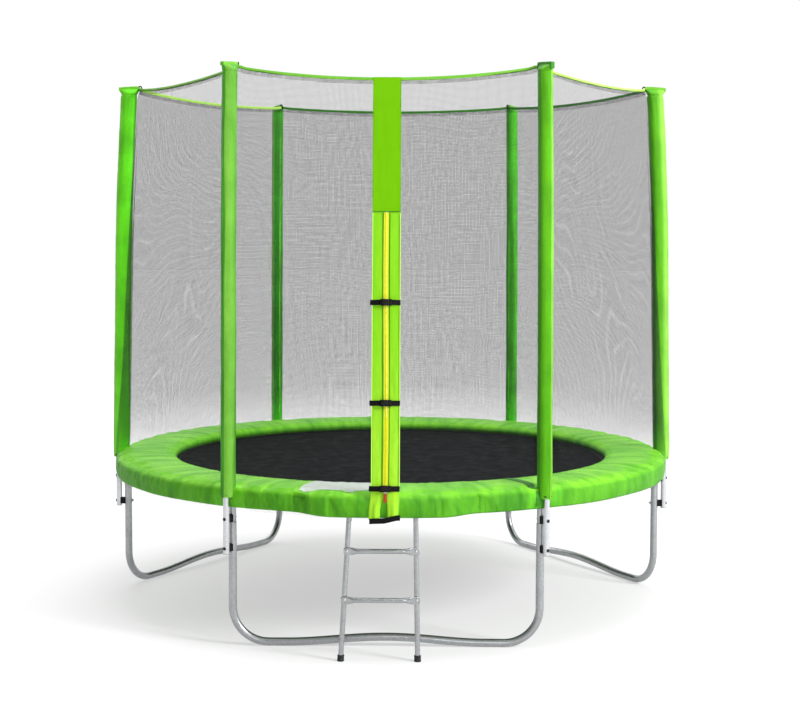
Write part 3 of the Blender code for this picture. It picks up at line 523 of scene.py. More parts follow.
# Painted light and shade round each sleeve, as the key light falls on its pole: paler colours and painted highlights
# on the lit flanks, darker colours on the shaded flanks.
SLEEVE_PAINTED_LIGHT = {
    "front_left": [(-180, (0.040, 0.240, 0.003)), (22, (0.026, 0.200, 0.002)), (32, (0.155, 0.400, 0.036)),
                   (70, (0.165, 0.420, 0.042)), (120, (0.080, 0.330, 0.020)), (180, (0.060, 0.280, 0.010))],
    "front_right": [(-180, (0.040, 0.240, 0.002)), (-94, (0.041, 0.240, 0.002)), (-76, (0.112, 0.470, 0.003)),
                    (-5, (0.112, 0.470, 0.003)), (8, (0.190, 0.500, 0.020)), (180, (0.170, 0.480, 0.020))],
    "right": [(-180, (0.050, 0.280, 0.003)), (-135, (0.085, 0.380, 0.004)), (-88, (0.100, 0.400, 0.005)),
              (-60, (0.235, 0.530, 0.050)), (180, (0.200, 0.500, 0.040))],
    "left": [(-180, (0.200, 0.600, 0.020)), (20, (0.210, 0.650, 0.012)), (60, (0.136, 0.740, 0.006)),
             (140, (0.110, 0.720, 0.006)), (168, (0.040, 0.250, 0.003)), (180, (0.040, 0.250, 0.003))],
    "back_left": [(-180, (0.080, 0.700, 0.020)), (40, (0.300, 0.800, 0.140)), (110, (0.330, 0.850, 0.160)),
                  (122, (0.090, 0.760, 0.020)), (180, (0.080, 0.700, 0.020))],
    "back_right": [(-180, (0.100, 0.760, 0.012)), (-90, (0.110, 0.820, 0.020)), (180, (0.100, 0.760, 0.012))],
}
SLEEVE_PAINTED_GREENS = {place: sleeve_cloth_with_painted_light("sleeve_cover_" + place, light_and_shade_stops) for place, light_and_shade_stops in SLEEVE_PAINTED_LIGHT.items()}
# The one green binding, with a paler copy that is painted light and a darker copy that is painted shade.
BINDING_GREEN, PAINTED_LIGHT_BINDING, PAINTED_SHADE_BINDING = (
    coated_cloth(name, colour, deep, 0.5, 0.0009, 0.0004, "Object") for name, colour, deep in (
        ("green_binding", (0.150, 0.420, 0.030), (0.080, 0.320, 0.010)),
        ("painted_light_binding", (0.360, 0.620, 0.100), (0.220, 0.500, 0.050)),
        ("painted_shade_binding", (0.030, 0.190, 0.010), (0.020, 0.140, 0.006))))
DOOR_GREEN = door_cloth()
PIPING = webbing("pale_green_piping", (0.48, 0.80, 0.12), (0.36, 0.70, 0.06), 0.0012)
SEAM = webbing("dark_green_seam", (0.060, 0.250, 0.006), (0.030, 0.150, 0.004), 0.0012)
COVER_GREEN = coated_cloth("door_cover_cloth", (0.130, 0.395, 0.001), (0.110, 0.350, 0.001), 0.85, 0.0010, 0.0005,
                           shine=0.06)
STITCH = webbing("dark_green_thread", linear(70, 140, 20), linear(40, 100, 14), 0.0008)
ZIP_TAPE = webbing("yellow_zip_tape", (0.68, 0.70, 0.010), (0.56, 0.60, 0.008), 0.0007)
BLACK_WEB = webbing("black_webbing", (0.0050, 0.0050, 0.0055), (0.0018, 0.0018, 0.0020), sheen=0.02)
LABEL = coated_cloth("blank_label", (0.60, 0.66, 0.60), (0.42, 0.48, 0.42), 0.35, 0.0012, 0.0015)
FOAM = moulded("black_foam", (0.022, 0.022, 0.024), 0.85, 700.0, 0.0006)
MAT = mat_weave()
NET = net_mesh("black_net", 0.0044, 0.00061, 0.00021, (0.008, 0.008, 0.009))
NET_HEM = net_mesh("black_net_hem", 0.0044, 0.00078, 0.00078, (0.008, 0.008, 0.009))
TEETH = tooth_metal()
SLIDER = painted_slider()


# ======================================================================= frame tubes
def arc_points(radius, start, end, z, count):
    return [polar(radius, start + (end - start) * k / (count - 1), z) for k in range(count)]


def weld_bead(centre, radius, thickness, lumps=26):
    """A ripple of weld round a joint."""
    path = [(radius * math.cos(turn), radius * math.sin(turn), 0.0) for turn in round_turns(lumps * 3)]
    radii = [thickness * (0.75 + 0.25 * math.cos(2 * math.pi * k / 3)) for k in range(lumps * 3)]
    return moved(swept(path, radii, 8, closed=True), Matrix.Translation(centre))


def build_top_rails():
    half, swage_start, swage_end = SECTOR / 2 - 0.02, 29.2, 32.1       # degrees
    rail = swept(arc_points(RING_RADIUS, -half, half, RING_Z, 61), RING_TUBE, 28)
    swage = swept(arc_points(RING_RADIUS, swage_start, swage_end, RING_Z, 8), RING_SWAGE, 20)
    top = polar(RING_RADIUS, 0, RING_Z)
    stub = lathe([(STUB_TUBE, RING_Z), (STUB_TUBE, LEG_TOP_Z + 0.003), (STUB_TUBE - 0.0006, LEG_TOP_Z + 0.0006),
                  (STUB_SWAGE, LEG_TOP_Z - 0.001), (STUB_SWAGE, STUB_BOTTOM_Z + 0.006),
                  (STUB_SWAGE - 0.002, STUB_BOTTOM_Z)], 28, Matrix.Translation((top.x, top.y, 0)))
    weld = weld_bead((top.x, top.y, RING_Z - RING_TUBE + 0.0045), STUB_TUBE + 0.0008, 0.0026)
    shape = merged(rail, swage, stub, weld)
    for place, azimuth in POLES.items():
        piece("ring_rail_" + place, shape, STEEL, "frame", "galvanised_frame", "top_rail_" + place,
              matrix=turned(azimuth))


def leg_path():
    reach = RING_RADIUS * math.sin(math.radians(SECTOR / 2))
    depth = -RING_RADIUS * math.cos(math.radians(SECTOR / 2))
    flat = reach - LEG_BEND - LEG_FLAT
    side = [(reach, LEG_TOP_Z - 0.002 - k * 0.06) for k in range(5)]
    for k in range(19):
        turn = math.pi / 2 * k / 18
        side.append((reach - LEG_BEND + LEG_BEND * math.cos(turn),
                     LEG_TUBE + LEG_BEND - LEG_BEND * math.sin(turn)))
    for k in range(1, 17):
        along = flat * (1 - k / 17)
        side.append((along, LEG_TUBE + LEG_ARCH * (1 + math.cos(math.pi * along / flat)) / 2))
    path = [(-x, depth, z) for x, z in side] + [(0, depth, LEG_TUBE + LEG_ARCH)]
    return path + [(x, depth, z) for x, z in reversed(side)], reach, depth


def build_legs():
    path, reach, depth = leg_path()
    lip = [(LEG_TUBE - 0.0003, LEG_TOP_Z - 0.004), (LEG_TUBE, LEG_TOP_Z - 0.0012),
           (LEG_TUBE - 0.0008, LEG_TOP_Z - 0.0002), (STUB_SWAGE + 0.0010, LEG_TOP_Z - 0.0004),
           (STUB_SWAGE + 0.0006, LEG_TOP_Z - 0.0030)]
    collars = [lathe(lip, 28, Matrix.Translation((x, depth, 0))) for x in (-reach, reach)]
    shape = merged(swept(path, LEG_TUBE, 28), *collars)
    for place, azimuth in THIRDS.items():
        piece("bent_leg_" + place, shape, STEEL, "frame", "galvanised_frame", "leg_" + place, matrix=turned(azimuth))


# ======================================================================= poles
def lean_share(azimuth):
    """1 at the side poles and END_LEAN at the front and back ones, evenly changing between them."""
    from_side = abs(abs((azimuth + 180.0) % 360.0 - 180.0) - 90.0)
    return END_LEAN + (1.0 - END_LEAN) * max(0.0, 1.0 - from_side / SECTOR)


def pole_radius(z, azimuth):
    lean = POLE_LEAN * max(0.0, z - POLE_LEAN_Z) + POLE_BEND * max(0.0, z - POLE_BEND_Z) ** 2
    return POLE_RING_RADIUS - lean * lean_share(azimuth)


def build_poles():
    centre = Matrix.Translation((0, -POLE_RING_RADIUS, 0))
    rim = lathe([(POLE_TUBE - 0.0012, POLE_BOTTOM_Z + 0.004), (POLE_TUBE - 0.0012, POLE_BOTTOM_Z),
                 (POLE_TUBE - 0.0004, POLE_BOTTOM_Z), (POLE_TUBE, POLE_BOTTOM_Z + 0.0010),
                 (POLE_TUBE, POLE_BOTTOM_Z + 0.003)], 24, centre)
    for place, azimuth in POLES.items():
        def run(heights, radius, sides):
            return swept([polar(pole_radius(z, azimuth), 0, z) for z in heights], radius, sides)

        lower = run(np.linspace(POLE_BOTTOM_Z + 0.0008, POLE_JOINT_Z, 16), POLE_TUBE, 24)
        lower = merged(lower, rim, run((1.29, 1.33, 1.36), 0.0103, 20))
        upper = run(np.linspace(POLE_JOINT_Z + 0.0003, POLE_TOP_Z, 20), POLE_TUBE, 24)
        for level, tube in (("lower", lower), ("upper", upper)):
            piece(f"pole_tube_{level}_{place}", tube, POLE_STEEL, "frame", "pole_steel", f"pole_{level}_{place}",
                  matrix=turned(azimuth))


def saddle_block(tube_radius):
    """A spacer block, hollowed to fit a tube on each side, narrow at its waist."""
    inner, outer = RING_RADIUS + tube_radius, POLE_RING_RADIUS - POLE_TUBE
    half = SPACER_WIDTH / 2
    waist = half * 0.80
    leg_side, pole_side = [], []
    for k in range(9):
        x = -half + 2 * half * k / 8
        leg_side.append((x, RING_RADIUS + math.sqrt((tube_radius + 0.0003) ** 2 - x * x)))
        x = half - 2 * half * k / 8
        pole_side.append((x, POLE_RING_RADIUS - math.sqrt(max(0.0, (POLE_TUBE + 0.0003) ** 2 - x * x))))
    flanks = []
    for k in range(1, 6):
        t = k / 6
        flanks.append((half - (half - waist) * math.sin(math.pi * t), inner - 0.002 + (outer - inner + 0.004) * t))
    outline = leg_side + flanks + pole_side + [(-x, r) for x, r in reversed(flanks)]
    middle = (inner + outer) / 2
    rings = []
    for level, size in ((-0.5, 0.90), (-0.46, 0.99), (-0.40, 1.0), (0.40, 1.0), (0.46, 0.99), (0.5, 0.90)):
        depth = 1 if size == 1.0 else 0.5 + size / 2
        rings.append([(x * size, -(middle + (r - middle) * depth), level * SPACER_HEIGHT) for x, r in outline])
    return skin(rings)


def through_bolt(tube_radius):
    """A bolt along the radius: round head outside the pole, washer and nut inside the leg."""
    out = frame_at((0, -(POLE_RING_RADIUS + POLE_TUBE), 0), (1, 0, 0), (0, -1, 0))
    into = frame_at((0, -(RING_RADIUS - tube_radius), 0), (1, 0, 0), (0, 1, 0))
    head = lathe([(0.0068, -0.0012), (0.0070, -0.0002), (0.0062, 0.0016), (0.0044, 0.0030), (0.0016, 0.0037)],
                 20, out)
    washer = lathe([(0.0075, -0.0008), (0.0078, -0.0003), (0.0078, 0.0004), (0.0074, 0.0008)], 20, into)
    nut = lathe([(0.0056, 0.0008), (0.0063, 0.0014), (0.0063, 0.0050), (0.0054, 0.0058)], 6, into)
    end = lathe([(0.0030, 0.0050), (0.0030, 0.0080), (0.0024, 0.0088)], 12, into)
    return head, merged(washer, nut, end)


def build_spacers():
    for level, height in SPACER_Z.items():
        tube_radius = STUB_TUBE if level == "upper" else LEG_TUBE
        block = saddle_block(tube_radius)
        head, nut = through_bolt(tube_radius)
        for place, azimuth in POLES.items():
            where = turned(azimuth) @ Matrix.Translation((0, 0, height))
            name = level + "_" + place
            piece("spacer_block_" + name, block, PLASTIC, "frame", "black_plastic", "pole_spacer_" + name,
                  sharp=50, matrix=where)
            piece("bolt_head_" + name, head, DARK_BOLT, "frame", "black_plastic", matrix=where)
            piece("bolt_nut_" + name, nut, BOLT_STEEL, "frame", "galvanised_frame", sharp=30, matrix=where)


def sleeve_shape(seed, azimuth):
    """A foam tube in a cloth cover: a fold line along its outer side, a sewn fin inside, a flat sewn top."""
    heights = list(np.linspace(SLEEVE_BOTTOM_Z, 2.19, 110)) + list(np.linspace(2.195, SLEEVE_TOP_Z, 36))
    rings, uvs = [], []
    for z in heights:
        middle = pole_radius(z, azimuth)
        flat = smooth(z, 2.252, 2.282)
        fan = smooth(z, 2.246, 2.274)
        pinch = 3.2 * math.exp(-((z - SLEEVE_SEAM_Z) / 0.0024) ** 2)
        radial = SLEEVE_RADIAL + (SLEEVE_TOP_RADIAL - SLEEVE_RADIAL) * fan
        tangent = SLEEVE_TANGENT * (1 - flat) + SLEEVE_TOP_TANGENT * flat
        centre = SLEEVE_CENTRE + 0.002 * flat
        bottom_pull = 1.0 - 0.05 * (1 - smooth(z, 0.60, 0.66))
        gather = smooth(z, 2.12, 2.20) * (1 - smooth(z, 2.236, 2.246)) + 0.8 * (1 - smooth(z, 0.61, 0.72))
        ring = []
        for t in np.linspace(-math.pi, math.pi, SLEEVE_SIDES, endpoint=False):
            a, b = math.cos(t), math.sin(t)
            bulge = (abs(a) ** 2.4 + abs(b) ** 2.4) ** (-1 / 2.4)
            # the cover comes to a ridge at the outer side and a sewn fin at the inner side
            leaf = (1 - max(0.0, a) ** 2.2) * math.copysign(1.0, b) if abs(b) > 1e-6 else 0.0
            keen = smooth(a, -0.1, 0.5) * (1 - flat)
            fin = math.exp(-((abs(t) - math.pi) / 0.26) ** 2) * (1 - flat)
            out = radial * (a * bulge * (1 - keen) + a * keen) + 0.001 * keen - 0.003 * fin
            across = tangent * (b * bulge * (1 - keen) + leaf * keen)
            long_wave = noise.noise(Vector((2.0 * b + seed, z * 5.0, a * 1.5)))
            crease = noise.noise(Vector((4.0 * b, z * 34.0 + seed, a * 3.0)))
            ripple = noise.noise(Vector((9.0 * b + seed, z * 10.0, a * 9.0)))
            swell = 0.0016 * long_wave + 0.0008 * crease + 0.0022 * gather * ripple - 0.0006 * pinch
            swell += 0.0003 * noise.noise(Vector((3.1 * t + seed, z * 16.0, seed * 1.7)))
            scale = bottom_pull * (1 + swell / 0.030)
            slope_down = 0.006 * (0.5 + 0.5 * a) * smooth(z, SLEEVE_SEAM_Z, SLEEVE_TOP_Z)
            ring.append((across * scale, -(middle + centre + out * scale), z - slope_down))
            uvs.append((t * SLEEVE_UV_RADIUS, z))
        rings.append(ring)
    return rings, uvs


def cut_sleeve_bottom(rings):
    """The lower end slopes up towards the inside, where the sleeve stands on the pad."""
    rings = np.asarray(rings, float)
    reach = 0.16
    for k in range(rings.shape[0]):
        inside = np.clip((POLE_RING_RADIUS - 0.0135 + rings[k][:, 1]) / 0.045, 0.0, 1.0)
        lift = 0.046 * inside * max(0.0, 1 - (rings[k][:, 2].mean() - SLEEVE_BOTTOM_Z) / reach)
        rings[k][:, 2] += lift
    return rings


def build_sleeves():
    foam = lathe([(0.022, SLEEVE_BOTTOM_Z + 0.012), (0.022, SLEEVE_BOTTOM_Z + 0.0065),
                  (0.0145, SLEEVE_BOTTOM_Z + 0.0055), (0.0138, SLEEVE_BOTTOM_Z + 0.010)],
                 24, Matrix.Translation((0, -POLE_RING_RADIUS + 0.004, 0)))
    for number, (place, azimuth) in enumerate(POLES.items()):
        rings, uvs = sleeve_shape(number * 3.7, azimuth)
        rings = cut_sleeve_bottom(rings)
        # the cover turns in at the bottom, with the foam's dark end inside it
        low = rings[0]
        centre = low.mean(0)
        turned_in = ((0.16, 0.010), (0.13, 0.0012), (0.06, -0.0010))
        inner = [low * (1 - share) + centre * share + (0, 0, lift) for share, lift in turned_in]
        uvs = uvs[:SLEEVE_SIDES] * len(inner) + uvs
        cover = piece("sleeve_cover_" + place, skin(np.concatenate([inner, rings])), SLEEVE_PAINTED_GREENS[place], "frame",
                      "sleeve_cover", "pole_sleeve_" + place, sharp=60, uv=uvs, matrix=turned(azimuth))
        piece("sleeve_foam_end_" + place, foam, FOAM, "frame", "black_plastic", matrix=turned(azimuth))
        build_sleeve_top(place, azimuth)


def build_sleeve_top(place, azimuth):
    """The band sewn across the flattened top, and the dark loop that ties the net's corner to it."""
    top = pole_radius(SLEEVE_TOP_Z, azimuth) - 0.010
    # on the front right pole the band is taller and takes the darker binding: painted shadow on the cap's shaded
    # face
    height, finish = (0.026, PAINTED_SHADE_BINDING) if place == "front_right" else (0.015, BINDING_GREEN)
    path = [(0.0, -(top + 0.0462 - 0.0924 * k / 12), SLEEVE_TOP_Z - 0.0005 - height / 2 - 0.006 * (1 - k / 12))
            for k in range(13)]
    band = ribbon(path, (0, 0, 1), height, 0.0160, 0.0022)
    piece("sleeve_top_band_" + place, band, finish, "frame", "sleeve_cover", matrix=turned(azimuth))
    inner = top - 0.047
    loop = [(0.005 * math.sin(t), -(inner - 0.003 - 0.007 * math.cos(t)), SLEEVE_TOP_Z - 0.012 + 0.010 * math.sin(t))
            for t in round_turns(24)]
    piece("net_corner_loop_" + place, swept(loop, 0.0030, 8, closed=True), BLACK_WEB, "frame", "net_mesh",
          matrix=turned(azimuth))


# ======================================================================= mat and springs
def dip(made):
    """Bake a piece's placement into its mesh. It is not bent with the mat."""
    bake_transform(made)


def coil_spring():
    """One extension spring at azimuth 0: a V-ring on the band, the close coil and a hook into the ring rail."""
    turns, steps, start, end = 25, 9, 1.052, 1.163
    coil = []
    for k in range(turns * steps + 1):
        turn = 2 * math.pi * k / steps
        along = start + (end - start) * k / (turns * steps)
        wide = 0.0074 * (0.55 + 0.45 * smooth(along, start, start + 0.010))
        wide *= 0.5 + 0.5 * smooth(end - along, 0.0, 0.012)
        coil.append((wide * math.cos(turn), -along, MAT_Z + wide * math.sin(turn)))
    hook = [coil[-1], (0.0, -1.170, MAT_Z + 0.002), (0.0, -1.178, MAT_Z + 0.004), (0.0, -1.1865, MAT_Z + 0.003),
            (0.0, -1.1905, MAT_Z - 0.002)]
    eye = [(0.0, -1.0385, MAT_Z + 0.004), (0.0, -1.0370, MAT_Z - 0.001), (0.0, -1.0420, MAT_Z - 0.005),
           (0.0, -1.0480, MAT_Z - 0.002), coil[0]]
    ring = [(x, -y, MAT_Z) for x, y in ((-0.018, 1.0060), (0.018, 1.0060), (0.0175, 1.0125), (0.0035, 1.0400),
                                        (0.0, 1.0415), (-0.0035, 1.0400), (-0.0175, 1.0125))]
    return merged(swept(coil, SPRING_WIRE, 5), swept(hook, SPRING_WIRE, 6), swept(eye, SPRING_WIRE, 6),
                  swept(ring, 0.0019, 6, closed=True))


def mat_band(azimuth, width):
    """The webbing round a wedge of the mat, with three rows of stitching."""
    outline = ((0.958, 0.0020), (0.960, 0.0034), (BAND_OUTER - 0.002, 0.0034), (BAND_OUTER, 0.0015),
               (BAND_OUTER, -0.0015), (BAND_OUTER - 0.002, -0.0030), (0.960, -0.0022), (0.958, -0.0010))
    rings = [[polar(r, azimuth - width / 2 + width * k / 12, MAT_Z + z) for r, z in outline] for k in range(13)]
    threads = []
    for radius in (0.964, 0.985, 1.006):
        path = [polar(radius, azimuth - width / 2 + width * k / 72, MAT_Z + 0.0034 + 0.0004 * math.cos(math.pi * k))
                for k in range(73)]
        threads.append(swept(path, 0.0005, 4))
    return merged(skin(rings), *threads)


def build_mat():
    width = 360.0 / WEDGES
    spring = coil_spring()
    share = SPRINGS // WEDGES
    reach = MAT_RADIUS + 0.004
    for number in range(WEDGES):
        azimuth = -180.0 + width * (number + 0.5)
        label = f"{number + 1:02d}"
        columns = []
        for turn in (azimuth - width / 2 + width * k / 8 for k in range(9)):
            columns.append([polar(r, turn, MAT_Z + 0.0012 + 0.0006 * noise.noise(polar(r * 4.0, turn, 0.0)))
                            for r in np.linspace(0.0005, reach, 40)])
        mat = piece("jump_mat_" + label, sheet_grid(columns), MAT, None, "jump_mat_weave", "jump_mat", sharp=None)
        dip(mat)
        band = piece("mat_edge_band_" + label, mat_band(azimuth, width), BLACK_WEB, None, "jump_mat_weave", sharp=40)
        dip(band)
        springs = [moved(spring, turned(azimuth + (k - (share - 1) / 2) * 360.0 / SPRINGS)) for k in range(share)]
        stands_for = ["spring_row_" + third for third in THIRDS] if number == 0 else ()
        springs = piece("spring_set_" + label, merged(*springs), SPRING_STEEL, None, "spring_steel", stands_for,
                        sharp=None)
        dip(springs)


# ======================================================================= pad
def entrance(azimuth):
    return 1.0 - smooth(abs(azimuth), BULGE_FULL, BULGE_END)


def skirt_radius(azimuth):
    return PAD_OUTER + ENTRANCE_BULGE * entrance(azimuth)


def pad_surface(columns):
    """Points of the pad's cover, from the inner edge's underside over the top and down the skirt."""
    points, uvs, pinned = [], [], []
    start = PAD_INNER + 0.003
    for k in range(columns):
        azimuth = -180.0 + 360.0 * k / columns
        outer = skirt_radius(azimuth)
        wave = noise.noise(polar(1.3, azimuth, 0.0)) * 0.006 + noise.noise(polar(4.5, azimuth, 7.0)) * 0.003
        hem = SKIRT_BOTTOM_Z - ENTRANCE_DROP * entrance(azimuth) + wave
        lip = 0.0045 + 0.0012 * noise.noise(polar(9.0, azimuth, 3.0))
        profile = [(PAD_INNER + 0.006, MAT_Z + 0.0075), (PAD_INNER, MAT_Z + lip), (PAD_INNER - 0.0005, 0.620),
                   (start, PAD_TOP_Z)]
        for i in range(1, 22):
            t = i / 22
            arch = 0.0070 * math.sin(math.pi * t) ** 0.7
            profile.append((start + (outer - 0.016 - PAD_INNER - 0.003) * t, PAD_TOP_Z + arch + 0.0035 * t))
        profile += [(outer - 0.014, 0.6345), (outer - 0.007, 0.6320), (outer - 0.0025, 0.6265),
                    (outer - 0.0010, SKIRT_TOP_Z)]
        for i in range(1, 10):
            t = i / 9
            profile.append((outer - 0.001 + 0.001 * t, SKIRT_TOP_Z + (hem - SKIRT_TOP_Z) * t))
        profile += [(outer - 0.0028, hem + 0.001), (outer - 0.0038, hem + 0.010), (outer - 0.0040, PAD_BOTTOM_Z),
                    (outer - 0.030, PAD_BOTTOM_Z), (1.10, PAD_BOTTOM_Z)]
        run = 0.0
        for i, (radius, z) in enumerate(profile):
            if i:
                run += math.dist(profile[i - 1], profile[i])
            uvs.append((math.radians(azimuth) * PAD_UV_RADIUS, run))
        points.append([polar(radius, azimuth, z) for radius, z in profile])
        # the seams: the inner edge, the line over the ring, and the hem with the underside
        pinned.append([1] * 4 + [0] * 21 + [1] + [0] * 11 + [1] * 6)
    return points, uvs, pinned


def crumple(obj, pinned, frames=20, growth=-0.045, pressure=1.2, cap=0.0075):
    """Let the cover grow and billow between its pinned seams by cloth simulation, then keep the result."""
    rest = np.array([v.co[:] for v in obj.data.vertices])
    group = obj.vertex_groups.new(name="seams")
    for index, weight in enumerate(pinned):
        if weight:
            group.add([index], float(weight), "REPLACE")
    cloth = obj.modifiers.new("cloth", "CLOTH")
    settings = cloth.settings
    for key, value in {"vertex_group_mass": "seams", "quality": 5, "mass": 0.25, "tension_stiffness": 22,
                       "compression_stiffness": 22, "shear_stiffness": 8, "bending_stiffness": 0.35,
                       "shrink_min": growth, "use_pressure": True, "uniform_pressure_force": pressure}.items():
        setattr(settings, key, value)
    settings.effector_weights.gravity = 0.0
    cloth.collision_settings.use_collision = False
    scene = bpy.context.scene
    for number in range(1, frames + 1):
        scene.frame_set(number)
    result = obj.evaluated_get(bpy.context.evaluated_depsgraph_get())
    after = np.array([v.co[:] for v in result.data.vertices])
    obj.modifiers.remove(cloth)
    scene.frame_set(1)
    shift = after - rest
    length = np.linalg.norm(shift, axis=1)
    shift *= np.where(length > cap, cap / np.maximum(length, 1e-9), 1.0)[:, None]
    return rest + shift


def build_pad():
    points, uvs, pinned = pad_surface(PAD_COLUMNS)
    rings = np.asarray([[p[:] for p in column] for column in points])
    pad = piece("safety_pad_cover", skin(rings, closed=True), PAD_GREEN, sharp=None, uv=uvs)
    after = crumple(pad, np.asarray(pinned).ravel())
    pad.data.vertices.foreach_set("co", after.astype(np.float32).ravel())
    pad.data.update()
    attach(pad, "frame")
    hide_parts("safety_pad")
    return pad


# ======================================================================= net
def net_corner(z, azimuth):
    cap = smooth(z, 2.235, 2.262)
    return pole_radius(z, azimuth) - NET_CORNER - (NET_CORNER_CAP - NET_CORNER) * cap


def net_outline(azimuth):
    from_pole = abs((azimuth % SECTOR) - SECTOR / 2)
    low = net_corner(NET_RULED_Z, azimuth)
    return low + (skirt_radius(azimuth) + NET_STANDOFF - low) * smooth(from_pole, 1.0, 3.2)


def net_point(middle, azimuth, across, depth, z):
    """A point of the ruled panel, which is bowed like the pad at the bottom and straight at the top."""
    cosine = math.cos(math.radians(SECTOR / 2))
    low, here = net_corner(NET_RULED_Z, azimuth), net_corner(z, azimuth)
    flat = min(1.0, max(0.0, (z - NET_RULED_Z) / (NET_TOP_Z - NET_RULED_Z)))
    away = here * cosine + (1.0 - flat) * (depth - low * cosine)
    turn = Matrix.Rotation(math.radians(middle), 3, "Z")
    return turn @ Vector((across * here / low, -away, z))


def door_point(x, z, out=0.0):
    low, here = net_corner(NET_RULED_Z, 0.0), net_corner(z, 0.0)
    across = x * low / here
    depth = math.sqrt((skirt_radius(0) + NET_STANDOFF) ** 2 - across ** 2)
    slope = door_slope()
    return net_point(0, 0.0, across, depth, z) + Vector((0.0, -slope.z, slope.y)) * out


def door_slope():
    """The unit direction up the entrance at x = 0."""
    depth = skirt_radius(0) + NET_STANDOFF
    return (net_point(0, 0.0, 0.0, depth, DOOR_TOP_Z) - net_point(0, 0.0, 0.0, depth, 0.66)).normalized()


def hem_line(middle, offset):
    """Height of the net's top edge, which hangs lowest over the entrance."""
    sag = FRONT_SAG if middle == 0 else OTHER_SAG
    return NET_TOP_Z - sag * (1.0 - (offset / (SECTOR / 2)) ** 2)


def net_bottom(offset):
    edge = 1.0 - smooth(SECTOR / 2 - abs(offset), 3.2, 4.2)
    return NET_LOW_Z + (NET_OVER_PAD_Z - NET_LOW_Z) * edge


def panel_point(middle, offset, z, out=0.0):
    radius = net_outline(middle + offset)
    turn = math.radians(offset)
    point = net_point(middle, middle + offset, radius * math.sin(turn), radius * math.cos(turn), z)
    if out:
        point = point + polar(out, middle + offset * 0.7, 0.0)
    return point


def net_ripple(middle, offset, z):
    """Slack of the net: long vertical folds that fade at the poles and the hem."""
    free = smooth(SECTOR / 2 - abs(offset), 1.0, 6.0) * (1 - smooth(z, 2.0, 2.24)) * smooth(z, 0.63, 0.80)
    fold = noise.noise(Vector((math.radians(middle + offset) * 9.0, z * 0.9, 3.0)))
    return 0.0045 * free * fold


# degrees from a panel's middle, closer together near its poles
NET_OFFSETS = [-30 + 0.5 * k for k in range(12)] + list(range(-24, 25)) + [24.5 + 0.5 * k for k in range(11)]


def build_net():
    columns, uvs = [], []
    for middle in (-180, -120, -60, 0, 60, 120):
        for offset in NET_OFFSETS:
            if middle == 0 and 0 < abs(offset) < 3.2:
                continue
            low, top = net_bottom(offset), hem_line(middle, offset)
            heights = [low + (top - low) * row / (NET_ROWS - 1) for row in range(NET_ROWS)]
            if middle == 0 and offset == 0:
                door = len(columns)
                new = [[door_point(x, z) for z in heights] for x in (DOOR_LEFT - 0.0003, DOOR_RIGHT + 0.0003)]
            else:
                new = [[panel_point(middle, offset, z, net_ripple(middle, offset, z)) for z in heights]]
            columns += new
            uvs += [(math.radians(middle + offset) * NET_UV_RADIUS, z) for z in heights] * len(new)
    points, faces = sheet_grid(columns, wrap=True)
    # the entrance is open, between the cloth strips and under the cover flap
    kept = [face for face in faces if face[0] // NET_ROWS != door]
    net = piece("net_enclosure", (points, kept), NET, "frame", "net_mesh", "enclosure_net", sharp=None, uv=uvs)
    build_hems()


def build_hems():
    """Per panel: the green binding on the net's top edge and the folded net under it."""
    # the panels at 60 and -120 take the paler binding as painted light, those at 120 and 180 the darker one as
    # painted shade
    lit_and_shaded_bindings = {60: PAINTED_LIGHT_BINDING, -120: PAINTED_LIGHT_BINDING, 120: PAINTED_SHADE_BINDING, 180: PAINTED_SHADE_BINDING}
    outline = [(-0.0016, -0.0115), (0.0016, -0.0115), (0.0026, -0.0060), (0.0020, -0.0010), (0.0008, 0.0008),
               (-0.0008, 0.0008), (-0.0020, -0.0010), (-0.0026, -0.0060)]
    drops = (0.026, 0.018, 0.008)
    made = []
    for number, middle in enumerate((0, 60, 120, 180, -120, -60)):
        out = turned(middle) @ Vector((0, -1, 0))
        rings, columns, uvs = [], [], []
        for offset in np.linspace(-29.85, 29.85, 61):
            top = hem_line(middle, offset)
            point = panel_point(middle, offset, top)
            wave = 0.0006 * noise.noise(Vector((offset * 0.9, middle, 2.0)))
            rings.append([point + out * (a + wave) + Vector((0, 0, b)) for a, b in outline])
            columns.append([panel_point(middle, offset, top - drop, -0.0022) for drop in drops])
            uvs += [(math.radians(offset) * NET_UV_RADIUS, drop) for drop in drops]
        made.append(piece(f"net_top_binding_{number + 1}", skin(rings), lit_and_shaded_bindings.get(middle, BINDING_GREEN), "frame",
                          "sleeve_cover"))
        made.append(piece(f"net_top_fold_{number + 1}", sheet_grid(columns), NET_HEM, "frame", "net_mesh",
                          sharp=None, uv=uvs))
    return made


# ======================================================================= entrance
def strip_grid(x_start, x_end, z_start, z_end, out, columns, rows, seed):
    """A strip of cloth that lies on the entrance, as an open surface."""
    points, uvs = [], []
    for x in (x_start + (x_end - x_start) * i / (columns - 1) for i in range(columns)):
        column = []
        for z in (z_start + (z_end - z_start) * row / (rows - 1) for row in range(rows)):
            lift = out + 0.0010 * noise.noise(Vector((x * 40.0 + seed, z * 9.0, seed)))
            column.append(door_point(x, z, lift))
            uvs.append((x, z))
        points.append(column)
    return points, uvs


def thick_strip(name, points, uvs, thickness, finish, **words):
    """Close a strip's front and back into one thin solid."""
    front = np.asarray([[p[:] for p in column] for column in points])
    slope = door_slope()
    back = front + np.array((0.0, slope.z, -slope.y)) * thickness
    columns, rows = front.shape[:2]
    rings = [list(front[:, row]) + list(back[::-1, row]) for row in range(rows)]
    uvs = np.asarray(uvs).reshape(columns, rows, 2)
    ring_uvs = np.concatenate([np.concatenate([uvs[:, row], uvs[::-1, row]]) for row in range(rows)])
    return piece(name, skin(rings), finish, "frame", "door_cloth", sharp=50, uv=ring_uvs, **words)


